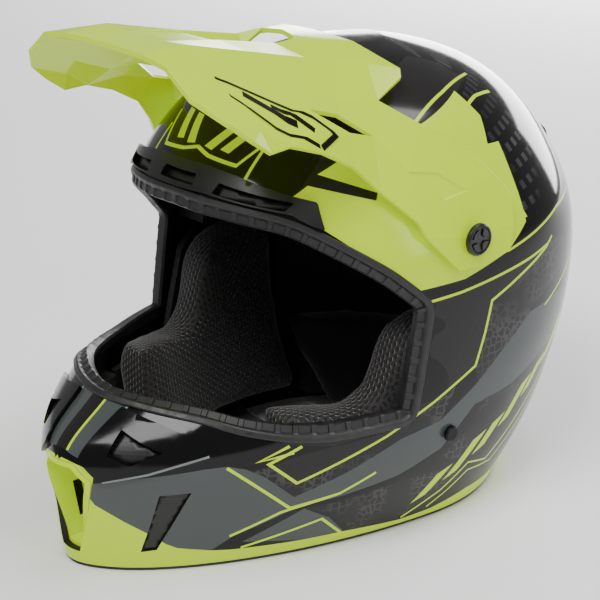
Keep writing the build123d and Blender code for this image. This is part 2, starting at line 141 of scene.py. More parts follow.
def hexPaint():
    # Printed honeycomb that fades in and out over dark grey, cells about 5 mm.
    mat, tree, bsdf, spot = newMaterial("paintHoneycombPrint", {
        "IOR": 1.5, "Roughness": 0.16, "Specular IOR Level": 0.3})
    cells = addNode(tree, "TexVoronoi", {
        "feature": "DISTANCE_TO_EDGE", "Scale": 215.0, "Randomness": 0.55, "Vector": spot})
    walls = addNode(tree, "ValToRGB", {0: cells, "stops": [(0.0, light), (0.07, light), (0.11, dark)]})
    patch = addNode(tree, "TexNoise", {"Scale": 42.0, "Detail": 1.0, "Vector": spot})
    mask = addNode(tree, "ValToRGB", {0: patch, "stops": [(0.40, dark), (0.56, light)]})
    both = addNode(tree, "Math", {"operation": "MULTIPLY", 0: walls, 1: mask})
    twoColours(tree, bsdf, both, "1b191a", "3a3838")
    return mat


def diamondPaint():
    # Black clear coat over a print of small grey squares set on their corners.
    spec = {"pitch": 9.0 * mm, "radius": 115 * mm, "centreY": 47.5 * mm, "lean": 0.35, "climb": 0.15,
            "half": 0.24}
    mat, tree, bsdf, spot = newMaterial("paintDiamondPrint", {
        "IOR": 1.5, "Roughness": 0.10, "Specular IOR Level": 0.3})
    x, y, z = addNode(tree, "SeparateXYZ", {0: spot}).outputs
    # distance round the shell, from the angle about its upright axis
    back = addNode(tree, "Math", {"operation": "SUBTRACT", 0: y, 1: spec["centreY"]})
    out = addNode(tree, "Math", {"operation": "ABSOLUTE", 0: x})
    turn = addNode(tree, "Math", {"operation": "ARCTAN2", 0: back, 1: out})
    girth = addNode(tree, "Math", {"operation": "MULTIPLY", 0: turn, 1: spec["radius"]})
    lean = addNode(tree, "Math", {"operation": "MULTIPLY", 0: z, 1: spec["lean"]})
    climb = addNode(tree, "Math", {"operation": "MULTIPLY", 0: girth, 1: spec["climb"]})
    along = repeatOffset(tree, addNode(tree, "Math", {"operation": "ADD", 0: girth, 1: lean}),
                         spec["pitch"])
    up = repeatOffset(tree, addNode(tree, "Math", {"operation": "SUBTRACT", 0: z, 1: climb}), spec["pitch"])
    reach = addNode(tree, "Math", {"operation": "MAXIMUM", 0: along, 1: up})
    inside = addNode(tree, "Math", {"operation": "LESS_THAN", 0: reach, 1: spec["half"]})
    fade = addNode(tree, "TexNoise", {"Scale": 30.0, "Detail": 0.0, "Vector": spot})
    mask = addNode(tree, "ValToRGB", {0: fade, "stops": [(0.38, dark), (0.62, light)]})
    both = addNode(tree, "Math", {"operation": "MULTIPLY", 0: inside, 1: mask})
    twoColours(tree, bsdf, both, "060606", "3c3c3f")
    return mat


def satinPlastic(name, hexCode, rough, grain=1800.0, depth=0.00006):
    # Moulded nylon: fine spark-eroded grain breaks up its highlights.
    mat, tree, bsdf, spot = newMaterial(name, {"Base Color": tint(hexCode), "IOR": 1.49,
                                               "Roughness": rough})
    noise = addNode(tree, "TexNoise", {"Scale": grain, "Detail": 2.0, "Vector": spot})
    feed(tree, bsdf, {
        "Roughness": driftingGloss(tree, spot, 90.0, rough - 0.04, rough + 0.06),
        "Normal": addNode(tree, "Bump", {"Strength": 0.25, "Distance": depth, "Height": noise})})
    return mat


def glossPlastic(name, hexCode):
    # Polished moulding: sharper highlights than the grained nylon.
    mat, tree, bsdf, spot = newMaterial(name, {"Base Color": tint(hexCode), "IOR": 1.5,
                                               "Specular IOR Level": 0.25})
    feed(tree, bsdf, {"Roughness": driftingGloss(tree, spot, 70.0, 0.10, 0.17)})
    return mat


def rubber():
    # Extruded rubber: grey-black, dull, with dust caught in it.
    mat, tree, bsdf, spot = newMaterial("rubberExtruded", {"IOR": 1.52})
    dust = addNode(tree, "TexNoise", {"Scale": 160.0, "Detail": 5.0, "Vector": spot})
    stops = [(0.35, tint("101011")), (0.75, tint("1a1a1b"))]
    feed(tree, bsdf, {
        "Base Color": addNode(tree, "ValToRGB", {0: dust, "stops": stops}),
        "Roughness": driftingGloss(tree, spot, 220.0, 0.42, 0.60)})
    return mat


def shadedRelief(tree, bsdf, pattern, stops, strength, depth, sign=1.0):
    # Colour and relief that both follow one pattern, so the low parts take the darker colour, a painted shade
    # in the hollows; a negative sign sinks its bright parts.
    height = addNode(tree, "Math", {"operation": "MULTIPLY", 0: pattern, 1: sign})
    stops = [(place, tint(colour)) for place, colour in stops]
    feed(tree, bsdf, {
        "Base Color": addNode(tree, "ValToRGB", {0: pattern, "stops": stops}),
        "Normal": addNode(tree, "Bump", {"Strength": strength, "Distance": depth, "Height": height})})


def patterned(name, base, kind, settings, stops, strength, depth, sign=1.0, output=0):
    mat, tree, bsdf, spot = newMaterial(name, base)
    pattern = addNode(tree, kind, {**settings, "Vector": spot}).outputs[output]
    shadedRelief(tree, bsdf, pattern, stops, strength, depth, sign)
    return mat


def spacerMesh():
    # Black 3-D spacer mesh: rows of long eyelets, each row set half a step over; the eyelets are not cut
    # through but painted near-black and sunk, a painted shade in them.
    acrossPitch, alongPitch = 2.6, 4.2     # the maps are in millimetres
    mat, tree, bsdf, _ = newMaterial("fabricSpacerMesh", {
        "IOR": 1.5, "Roughness": 0.75, "Sheen Weight": 0.35, "Sheen Roughness": 0.4})
    across, along, _ = addNode(tree, "SeparateXYZ", {0: addNode(tree, "TexCoord").outputs["UV"]}).outputs
    odd = across
    for operation, other in (("MULTIPLY", 1 / acrossPitch), ("FLOOR", 0.0), ("MODULO", 2.0), ("MULTIPLY",
        0.5)):
        odd = addNode(tree, "Math", {"operation": operation, 0: odd, 1: other})
    steps = addNode(tree, "Math", {"operation": "MULTIPLY", 0: along, 1: 1 / alongPitch})
    steps = addNode(tree, "Math", {"operation": "ADD", 0: steps, 1: odd})
    squares = []
    for off in (repeatOffset(tree, across, acrossPitch), repeatOffset(tree, steps, 1.0)):
        squares.append(addNode(tree, "Math", {"operation": "MULTIPLY", 0: off, 1: off}))
    reach = addNode(tree, "Math", {"operation": "ADD", 0: squares[0], 1: squares[1]})
    reach = addNode(tree, "Math", {"operation": "SQRT", 0: reach})
    hole = addNode(tree, "ValToRGB", {0: reach, "stops": [(0.25, dark), (0.36, light)]})
    shadedRelief(tree, bsdf, hole.outputs[0], [(0.0, "020202"), (1.0, "272423")], 0.9, 0.0009)
    return mat


def punchedMesh():
    # Fine square-hole mesh, black; the holes are not cut through but painted near-black and sunk, a painted
    # shade in them.
    spec = {"pitch": 1.9 * mm, "half": 0.30}
    mat, tree, bsdf, spot = newMaterial("plasticPunchedMesh", {"IOR": 1.49, "Roughness": 0.45})
    x, y, z = addNode(tree, "SeparateXYZ", {0: spot}).outputs
    level = addNode(tree, "Math", {"operation": "ADD", 0: x, 1: y})
    cells = [repeatOffset(tree, way, spec["pitch"]) for way in (level, z)]
    reach = addNode(tree, "Math", {"operation": "MAXIMUM", 0: cells[0], 1: cells[1]})
    hole = addNode(tree, "Math", {"operation": "LESS_THAN", 0: reach, 1: spec["half"]})
    shadedRelief(tree, bsdf, hole.outputs[0], [(0.0, "1c1a19"), (1.0, "020202")], 0.8, 0.0006, -1.0)
    return mat


def plated(name, hexCode, rough):
    # Plated steel whose roughness drifts a little over the surface.
    mat, tree, bsdf, spot = newMaterial(name, {"Base Color": tint(hexCode), "Metallic": 1.0})
    feed(tree, bsdf, {"Roughness": driftingGloss(tree, spot, 400.0, rough, rough + 0.12)})
    return mat


mats = {k: paint(k) for k in paints}
mats.update({
    "hex": hexPaint(),
    "diamond": diamondPaint(),
    "trim": rubber(),
    "satin": satinPlastic("nylonMouldedBlack", "0c0c0d", 0.36),
    "gloss": glossPlastic("absGlossBlack", "070708"),
    # 3 mm beads fused together, black: soft pits between them, painted darker there as shade
    "foam": patterned("foamBeadMoulded", {"IOR": 1.45, "Roughness": 0.8}, "TexVoronoi", {"Scale": 320.0},
                      [(0.0, "232324"), (0.8, "0f0f10")], 0.5, 0.0005, -1.0),
    "mesh": spacerMesh(),
    # smooth near-black lining knit with a soft sheen; its random tone is darker where the bump is low, a
    # painted shade in the low parts
    "knit": patterned("fabricBrushedKnit", {"IOR": 1.5, "Roughness": 0.85, "Sheen Weight": 0.25}, "TexNoise",
                      {"Scale": 1500.0, "Detail": 3.0}, [(0.3, "0c0c0d"), (0.8, "1c1b1c")], 0.5, 0.0003),
    "punched": punchedMesh(),
    # flat woven webbing: fine ribs along the strap, painted darker between the ribs as shade
    "webbing": patterned("fabricWovenWebbing", {"IOR": 1.5, "Roughness": 0.7, "Sheen Weight": 0.3}, "TexWave",
                         {"Scale": 260.0, "bands_direction": "Y"}, [(0.0, "0b0b0c"), (1.0, "1f1f20")], 0.6,
                         0.0003, output="Fac"),
    "steel": plated("steelPlated", "b8b8ba", 0.25),
    "blackened": plated("steelBlackOxide", "2a2a2c", 0.32),
    "raw": satinPlastic("laminateInside", "141415", 0.55, 600.0, 0.0002),
})
print("materials", len(mats))

# the helmet surface
# sections: height, front y, rear y, half width, y of the widest place, two outline powers (mm)
sections = [
    (-10.0, -160.0, 122.0, 89.0, 31.0, 1.6, 1.7), (0.0, -164.0, 126.0, 93.0, 30.0, 1.6, 1.7),
    (34.0, -168.0, 149.5, 106.0, 32.0, 1.8, 1.6), (70.0, -168.0, 164.5, 114.0, 39.0, 2.0, 1.5),
    (94.0, -138.0, 170.5, 118.0, 43.5, 2.0, 1.6), (120.0, -124.5, 173.5, 120.0, 47.5, 2.0, 1.6),
    (146.0, -112.5, 173.5, 120.0, 49.5, 2.0, 1.7), (171.0, -98.5, 167.5, 116.0, 49.5, 2.0, 1.9),
    (194.0, -86.5, 157.5, 105.0, 46.5, 2.0, 2.0), (213.0, -71.5, 144.5, 93.0, 43.5, 2.0, 2.0),
    (231.0, -49.0, 124.0, 76.0, 42.0, 2.0, 2.0), (243.0, -23.0, 101.0, 55.0, 42.0, 2.0, 2.0),
    (250.5, 3.5, 76.5, 33.0, 41.5, 2.0, 2.0), (254.5, 26.0, 58.5, 13.0, 41.5, 2.0, 2.0),
]
ringPoints = 40
baseHeight = 1.6
portOutline = [(-141, 91), (-118, 86.5), (-105, 81), (-86, 76), (-64, 73), (-17, 73.5), (-7, 139),
    (-28, 159), (-48, 174), (-64.5, 186), (-88, 192.5)]


def ringOutline(sec):
    z, front, rear, half, wide, p, q = sec
    ang = np.linspace(0, math.pi, 241)
    s = np.abs(np.cos(ang))
    x = np.where(ang <= math.pi / 2, half * np.sqrt(np.clip(1 - s * s, 0, 1)),
                 half * np.clip(1 - s ** p, 0, 1) ** (1 / q))
    y = np.where(ang <= math.pi / 2, wide + s * (rear - wide), wide - s * (wide - front))
    run = np.r_[0, np.cumsum(np.hypot(np.diff(x), np.diff(y)))]
    want = np.linspace(0, run[-1], ringPoints // 2 + 1)
    side = np.c_[np.interp(want, run, x), np.interp(want, run, y)]
    other = side[-2:0:-1] * [-1, 1]
    ring = np.r_[side, other]
    return np.c_[ring, np.full(len(ring), z)]


def splineThrough(t, rows, at, closed=False):
    # Cubic spline through rows (n, ...) at knots t, evaluated at every value of at.
    n = len(t)
    flat = rows.reshape(n, -1)
    h = np.diff(t)
    a = np.zeros((n, n))
    b = np.zeros_like(flat)
    a[0, 0] = a[-1, -1] = 1
    for i in range(1, n - 1):
        a[i, i - 1], a[i, i], a[i, i + 1] = h[i - 1], 2 * (h[i - 1] + h[i]), h[i]
        b[i] = 6 * ((flat[i + 1] - flat[i]) / h[i] - (flat[i] - flat[i - 1]) / h[i - 1])
    m = np.linalg.solve(a, b)
    k = np.clip(np.searchsorted(t, at, side="right") - 1, 0, n - 2)
    hk = h[k][:, None]
    left = (t[k + 1][:, None] - at[:, None]) / hk
    right = 1 - left
    out = (left * flat[k] + right * flat[k + 1]
           + ((left ** 3 - left) * m[k] + (right ** 3 - right) * m[k + 1]) * hk * hk / 6)
    return out.reshape(len(at), *rows.shape[1:])


def denseSurface(rowsWanted, colsWanted):
    rings = np.array([ringOutline(s) for s in sections])
    gaps = np.linalg.norm(np.diff(rings, axis=0), axis=2).mean(1)
    t = np.r_[0, np.cumsum(gaps)]
    tall = splineThrough(t, rings, np.linspace(0, t[-1], rowsWanted))
    around = np.concatenate([tall[:, -6:], tall, tall[:, :7]], axis=1).swapaxes(0, 1)
    knots = np.arange(len(around), dtype=float)
    at = 6 + np.linspace(0, ringPoints, colsWanted, endpoint=False)
    return splineThrough(knots, around, at).swapaxes(0, 1)


grid = denseSurface(220, 400)
gridRows, gridCols = grid.shape[:2]


def gridFaces(rows, cols):
    faces = []
    for i in range(rows - 1):
        for j in range(cols):
            k = (j + 1) % cols
            a, b, c, d = i * cols + j, i * cols + k, (i + 1) * cols + k, (i + 1) * cols + j
            faces += [(a, b, c), (a, c, d)]
    return faces


flatGrid = grid.reshape(-1, 3)
crown = flatGrid[-gridCols:].mean(0) + [0, 0, 0.4]
skinVerts = np.vstack([flatGrid, crown])
skinFaces = gridFaces(gridRows, gridCols)
last = (gridRows - 1) * gridCols
skinFaces += [(last + j, last + (j + 1) % gridCols, len(flatGrid)) for j in range(gridCols)]
faceArray = np.array(skinFaces)
corner = skinVerts[faceArray]
faceNormal = np.cross(corner[:, 1] - corner[:, 0], corner[:, 2] - corner[:, 0])
vertNormal = np.zeros_like(skinVerts)
for c in range(3):
    np.add.at(vertNormal, faceArray[:, c], faceNormal)
vertNormal /= np.linalg.norm(vertNormal, axis=1)[:, None]
if vertNormal[(gridRows // 2) * gridCols] @ (skinVerts[(gridRows // 2) * gridCols] - [0, 30, 100]) < 0:
    vertNormal = -vertNormal
skinTree = BVHTree.FromPolygons([Vector(v) for v in skinVerts], skinFaces)


def smoothNormal(point, face):
    tri = faceArray[face]
    p = np.array(point)
    a, b, c = skinVerts[tri]
    v0, v1, v2 = b - a, c - a, p - a
    d00, d01, d11, d20, d21 = v0 @ v0, v0 @ v1, v1 @ v1, v2 @ v0, v2 @ v1
    den = d00 * d11 - d01 * d01
    v = (d11 * d20 - d01 * d21) / den
    w = (d00 * d21 - d01 * d20) / den
    n = (1 - v - w) * vertNormal[tri[0]] + v * vertNormal[tri[1]] + w * vertNormal[tri[2]]
    return n / np.linalg.norm(n)


def cast(view, a, b, side=1):
    # Where a point of a drawing lands on the helmet: side (y, z), front (x, z), back (x, z) or top (x, y).
    far = 400.0
    start, way = {
        "side": ((side * far, a, b), (-side, 0, 0)),
        "front": ((side * a, -far, b), (0, 1, 0)),
        "frontOne": ((a, -far, b), (0, 1, 0)),
        "back": ((side * a, far, b), (0, -1, 0)),
        "top": ((side * a, b, far), (0, 0, -1)),
    }[view]
    hit, _, face, _ = skinTree.ray_cast(Vector(start), Vector(way))
    if hit is None:
        return None
    return np.array(hit), smoothNormal(hit, face)


heart = np.array([0.0, 28.0, 92.0])


def toDisc(p):
    # Crown-centred chart of the helmet: polar angle from straight up, turned about the vertical.
    d = np.asarray(p, float) - heart
    r = np.linalg.norm(d, axis=-1)
    polar = np.arccos(np.clip(d[..., 2] / r, -1, 1))
    flat = np.hypot(d[..., 0], d[..., 1]) + 1e-12
    return np.stack([polar * d[..., 0] / flat, polar * d[..., 1] / flat], axis=-1)


def fromDisc(q):
    polar = math.hypot(q[0], q[1])
    if polar < 1e-9:
        way = Vector((0, 0, 1))
    else:
        way = Vector((math.sin(polar) * q[0] / polar, math.sin(polar) * q[1] / polar, math.cos(polar)))
    for nudge in (0, 1e-5, -2e-5, 1e-4, -1e-3, 4e-3):
        hit, _, face, _ = skinTree.ray_cast(Vector(heart), way + Vector((nudge, nudge * 0.7, nudge * 0.3)))
        if hit is not None:
            return np.array(hit), smoothNormal(hit, face)
    hit, _, face, _ = skinTree.find_nearest(Vector(heart) + way * 120)
    return np.array(hit), smoothNormal(hit, face)


def densify(points, step, closed=True):
    out = []
    ends = points[1:] + points[:1] if closed else points[1:]
    for (x0, y0), (x1, y1) in zip(points, ends):
        n = max(1, int(math.hypot(x1 - x0, y1 - y0) / step))
        out += [(x0 + (x1 - x0) * i / n, y0 + (y1 - y0) * i / n) for i in range(n)]
    if not closed:
        out.append(points[-1])
    return out


def rounded(points, radius, closed=True, steps=5):
    # Corners of a drawing turned into short curves.
    n = len(points)
    out = []
    for i, b in enumerate(points):
        if not closed and i in (0, n - 1):
            out.append(b)
            continue
        a, c = points[i - 1], points[(i + 1) % n]
        la, lc = math.dist(a, b), math.dist(c, b)
        ra, rc = min(radius, 0.45 * la) / la, min(radius, 0.45 * lc) / lc
        p0 = (b[0] + (a[0] - b[0]) * ra, b[1] + (a[1] - b[1]) * ra)
        p2 = (b[0] + (c[0] - b[0]) * rc, b[1] + (c[1] - b[1]) * rc)
        for k in range(steps + 1):
            t = k / steps
            out.append(tuple((1 - t) ** 2 * p0[m] + 2 * t * (1 - t) * b[m] + t * t * p2[m] for m in (0, 1)))
    return out


def stripe(points, width):
    # A line of even width as an outline, with mitred corners and cut ends.
    left, right = [], []
    n = len(points)
    for i in range(n):
        p = np.array(points[i], float)
        ways = []
        if i > 0:
            d = p - points[i - 1]
            ways.append(d / np.linalg.norm(d))
        if i < n - 1:
            d = np.array(points[i + 1]) - p
            ways.append(d / np.linalg.norm(d))
        way = sum(ways)
        way = way / np.linalg.norm(way)
        out = np.array([-way[1], way[0]])
        if len(ways) == 2:
            side = np.array([-ways[0][1], ways[0][0]])
            out = out / max(0.5, out @ side)
        left.append(tuple(p + out * width / 2))
        right.append(tuple(p - out * width / 2))
    return left + right[::-1]


def inPolygon(px, py, poly):
    inside = np.zeros(np.shape(px), bool)
    for (x0, y0), (x1, y1) in zip(poly, poly[1:] + poly[:1]):
        cross = (y0 > py) != (y1 > py)
        with np.errstate(divide="ignore", invalid="ignore"):
            at = (x1 - x0) * (py - y0) / (y1 - y0) + x0
        inside ^= cross & (px < at)
    return inside


def layOut(view, outline, side, step):
    # A drawn outline laid on the helmet, as (point, normal).
    found = [cast(view, a, b, side) for a, b in densify(outline, step)]
    return [got for got in found if got is not None]


# shell graphics (mm)
# view, colour, outline; painted in this order on both sides
graphics = [
    # charcoal side panel behind the eye port, down along the chin bar
    ("side", "charcoal", [(-12, 150), (40, 148), (70, 150), (86, 156), (60, 146), (31, 134), (27, 115),
        (22, 97), (-4, 82), (-32, 68), (-42, 64), (-79, 49), (-94, 63), (-100, 72), (-60, 76), (-20, 74),
        (-9, 100)]),
    ("side", "hex", [(86, 155), (60, 146), (31, 133), (27, 115), (22, 97), (26, 84), (63, 119), (108, 140),
        (108, 150)]),
    ("side", "hex", [(-94, 63), (-79, 49), (-42, 64), (-13, 78), (10, 88), (2, 69), (-24, 58), (-51, 47),
        (-79, 38), (-104, 62)]),
    # mid-grey sweep from the back of the shell to the chin
    ("side", "grey", [(109, 150), (175, 130), (172, 96), (126, 98), (93, 90), (56, 76), (26, 72), (6, 50),
        (-20, 40), (-52, 35), (-75, 33), (-105, 19), (-114, 11), (-135, 13), (-145, 20), (-154, 30),
        (-166, 41), (-168, 52), (-150, 58), (-123, 63), (-113, 64), (-107, 63), (-96, 56), (-79, 40),
        (-51, 51), (-23, 64), (2, 69), (24, 85), (40, 100), (63, 118), (100, 120)]),
    ("back", "grey", [(-36, 96.2), (0, 96), (36, 96.2), (36, 132.2), (0, 130.5), (-36, 132.2)]),
    # lower dark side and its honeycomb
    ("side", "smoke", [(95, 89), (57, 75), (27, 72), (8, 49), (-22, 38), (-54, 32), (-76, 30), (-96, 22),
        (-60, 20), (-44, 6), (130, 6), (140, 40), (150, 70)]),
    ("side", "hex", [(10, 34), (-14, 36), (-53, 31), (-72, 31), (-56, 24), (-40, 8), (13, 8), (34, 30)]),
    ("side", "hex", [(34, 74), (26, 58), (8, 44), (20, 38), (60, 58), (78, 74)]),
    ("side", "charcoal", [(140, 96), (120, 70), (90, 44), (92, 30), (140, 34), (168, 70), (172, 94)]),
    ("side", "grey", [(-56, 21), (-72, 31), (-100, 14), (-66, 8), (-44, 8)]),
]
blackBlob = [(-20, 76), (-9, 100), (-12, 152), (-4, 148), (-6, 132), (0, 128), (1, 124), (-7, 120),
    (-9, 110), (-2, 105), (3, 98), (5, 90), (-2, 83), (-18, 83)]
graphics += [
    ("side", "black", rounded(blackBlob, 2.5)),
    # black edge under the eye port with its honeycomb flash
    ("side", "black", [(-113, 64), (-100, 60), (-79, 66), (-50, 70), (-20, 79), (-15, 72), (-60, 68),
        (-90, 74), (-118, 88), (-124, 73)]),
    ("side", "black", [(-12, 141), (12, 143), (43, 148), (84, 157), (110, 170), (118, 178), (60, 170),
        (43, 158), (13, 148), (-12, 147)]),
    # yellow panel in front of the peak arm, with its grey band
    ("side", "yellow", [(-65, 193), (-54, 201), (-41, 214), (-20, 214), (60, 210), (60, 170), (43, 158),
        (13, 149), (-13, 147), (-40, 169)]),
    ("side", "charcoal", [(-65, 193), (-55, 201), (-40, 215), (-30, 215), (-46, 207), (-24, 197.5),
        (-26, 194), (-52, 202), (-61, 196)]),
    # crown: dark panel, yellow arcs and the fin behind the peak
    ("top", "charcoal", [(58, 0), (86, 6), (90, 20), (62, 66), (46, 58), (38, 46)]),
    ("side", "yellow", [(18, 226), (50, 235), (56, 223), (50, 209), (47, 196), (55, 186), (62, 172),
        (30, 172), (0, 200), (2, 222)]),
    # chin: yellow beak
    ("side", "yellow", [(-175, 68), (-166, 62), (-163.5, 57), (-164.5, 45), (-162, 40), (-152, 31),
        (-143, 24), (-135, 17), (-130, 14), (-114, 10.5), (-105, 9.5), (-68, 8), (-44, 7.6), (-7, 4.6),
        (14, 5.5), (25, 7.5), (40, 10), (70, 10), (150, 8), (150, -12), (-175, -12)]),
    # nose panel
    ("front", "grey", [(0, 92), (18, 89), (13.5, 66), (0, 70), (-13.5, 66), (-18, 89)]),
    ("frontOne", "charcoal", [(-6, 92), (5, 92), (5, 69), (-4, 69)]),
]
lines = [
    ("side", "yellow", 1.5, [(-8, 140), (10, 142), (42, 147), (62, 150), (79, 153), (84, 156)]),
    ("side", "yellow", 1.6, [(79, 152.5), (52, 142), (31, 133), (27, 115), (22, 97), (-4, 82), (-32, 68),
        (-42, 64), (-79, 49), (-94, 63), (-84, 68), (-78, 71)]),
    ("side", "yellow", 1.6, [(-84, 72), (-99, 65), (-82, 68)]),
    ("side", "yellow", 1.4, [(43, 158), (67, 163), (94, 169), (122, 171)]),
    ("side", "yellow", 1.3, [(122, 135), (79, 117)]),
    ("side", "yellow", 1.6, [(-107, 19), (-84, 31), (-75, 33), (-54, 37), (-35, 46)]),
    ("side", "yellow", 1.6, [(-113, 63), (-80, 33), (-54, 37)]),
    ("side", "yellow", 1.5, [(-100, 10), (-60, 21), (-45, 7)]),
    ("side", "yellow", 1.2, [(-7, 6), (16, 18), (32, 32), (49, 28), (100, 70)]),
    ("side", "yellow", 1.0, [(10, 8), (22, 16), (34, 26), (56, 24), (108, 66)]),
    ("top", "yellow", 1.6, [(58, 72), (69, 42), (79, 8)]),
    ("top", "yellow", 1.6, [(70, 78), (74, 62), (80, 48)]),
    ("frontOne", "yellow", 1.5, [(5, 92), (5, 69)]),
    # painted highlights: light grey stripes beside the chin scoop's edges, in place of the light its bevels
    # would catch
    ("front", "edge", 1.3, [(19.0, 90), (14.6, 67)]),
    ("front", "edge", 1.2, [(24.5, 54.6), (43, 60.4), (63, 69.8)]),
    ("front", "yellow", 1.6, [(37, 216), (37, 199)]),
]
# slanted bars along the rear side, a plain racing pattern
for k in range(6):
    y0 = -4 + 18.5 * k
    z0 = 15 + 10 * k + 0.4 * k * k
    tall = 22 if k % 2 else 17
    graphics.append(("side", "yellow", [(y0, z0), (y0 + 9, z0 + 4), (y0 + 0.75 * tall + 10, z0 + tall + 4),
                                        (y0 + 0.75 * tall, z0 + tall)]))
for view, colour, width, line in lines:
    graphics.append((view, colour, stripe(line, width)))
# brow: open shield outline with slanted bars in it
graphics.append(("front", "yellow", stripe([(38, 222), (29, 208.5), (10, 210.5), (0, 213)], 1.6)))
for x0 in (4, 15):
    graphics.append(("front", "yellow", [(x0, 214), (x0 + 8, 225), (x0 + 14, 225), (x0 + 6, 213)]))

# openings, in the same views
browSide = [(25.5, 194.4), (61.0, 189.6), (63.0, 193.6), (27.0, 199.4)]
browMid = [(-13, 196.2), (13, 196.2), (12, 201.4), (-12, 201.4)]
mouth = [(-10.5, 63.5), (10.5, 63.5), (20, 54), (19, 49), (7.5, 9), (-7.5, 9), (-19, 49), (-20, 54)]
scoopHole = [(25.4, 80.0), (47, 71.8), (36.2, 65.2), (26, 69)]
chinSlot = [(46.3, 47.8), (57.1, 49.3), (40.3, 13.3), (34.6, 12.1)]
exhaustHole = [(30, 192.5), (47.5, 188.3), (44.5, 181), (32.5, 183.5)]
openings = [("front", browMid, (1,)), ("front", browSide, (1, -1)), ("front", mouth, (1,)),
            ("front", scoopHole, (1, -1)), ("front", chinSlot, (1, -1)), ("back", exhaustHole, (1, -1))]


def meshObject(name, verts, faces, body, smooth=True, scale=mm):
    mesh = bpy.data.meshes.new(name)
    mesh.from_pydata([tuple(np.array(v) * scale) for v in verts], [], faces)
    mesh.validate()
    mesh.update()
    if smooth:
        mesh.polygons.foreach_set("use_smooth", [True] * len(mesh.polygons))
    obj = bpy.data.objects.new(name, mesh)
    bpy.context.scene.collection.objects.link(obj)
    if body:
        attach(obj, body)
    return obj


def turnOutward(obj, weld=0.0):
    # Welds points closer than weld, then faces the whole skin outwards.
    bm = bmesh.new()
    bm.from_mesh(obj.data)
    if weld:
        bmesh.ops.remove_doubles(bm, verts=bm.verts, dist=weld)
    bmesh.ops.recalc_face_normals(bm, faces=bm.faces)
    bm.to_mesh(obj.data)
    bm.free()


def soften(obj, width, angle, segments=2):
    # Rounds every edge sharper than the angle, which is what catches a line of light.
    mod = obj.modifiers.new("edge", "BEVEL")
    mod.width = width * mm
    mod.segments = segments
    mod.angle_limit = math.radians(angle)
    mod.harden_normals = True


def tube(rings, points):
    # Faces that join rings of points, the last ring to the first.
    return [(i * points + k, i * points + (k + 1) % points, (i + 1) % rings * points + (k + 1) % points,
             (i + 1) % rings * points + k) for i in range(rings) for k in range(points)]


def portCurve(outline, step=2.0):
    # The eye-port edge on the helmet from the nose, round the wearer's left, to the brow, as (point, normal).
    inner = rounded(outline, 7.0, closed=False, steps=4)
    path = densify(inner, step, closed=False)
    found = [got for got in (cast("side", y, z, 1) for y, z in path) if got is not None and got[0][0] > 1.5]
    return found


def middleOf(found, first):
    # The point where that curve meets the middle plane.
    p = found[0 if first else -1][0]
    return fromDisc(toDisc(np.array([0.0, p[1] - 0.2, p[2]])))


def mirror(pn):
    return pn[0] * [-1, 1, 1], pn[1] * [-1, 1, 1]


leftCurve = portCurve(portOutline)
portLoop = [middleOf(leftCurve, True)] + leftCurve + [middleOf(leftCurve, False)]
portLoop += [mirror(pn) for pn in leftCurve[::-1]]


# wall and spacings in mm, edgeGap in the chart's radians; a step longer than leap means that an outline has
# left this face of the helmet
shellPiece = {"wall": 3.5, "edgeStep": 2.5, "holeStep": 1.5, "fillStep": 3.2, "fillRows": 118,
              "edgeGap": 0.009,
              "rimGap": 0.8, "leap": 32, "diamondFrom": (52, 165), "frontBefore": 45, "topAbove": 150}


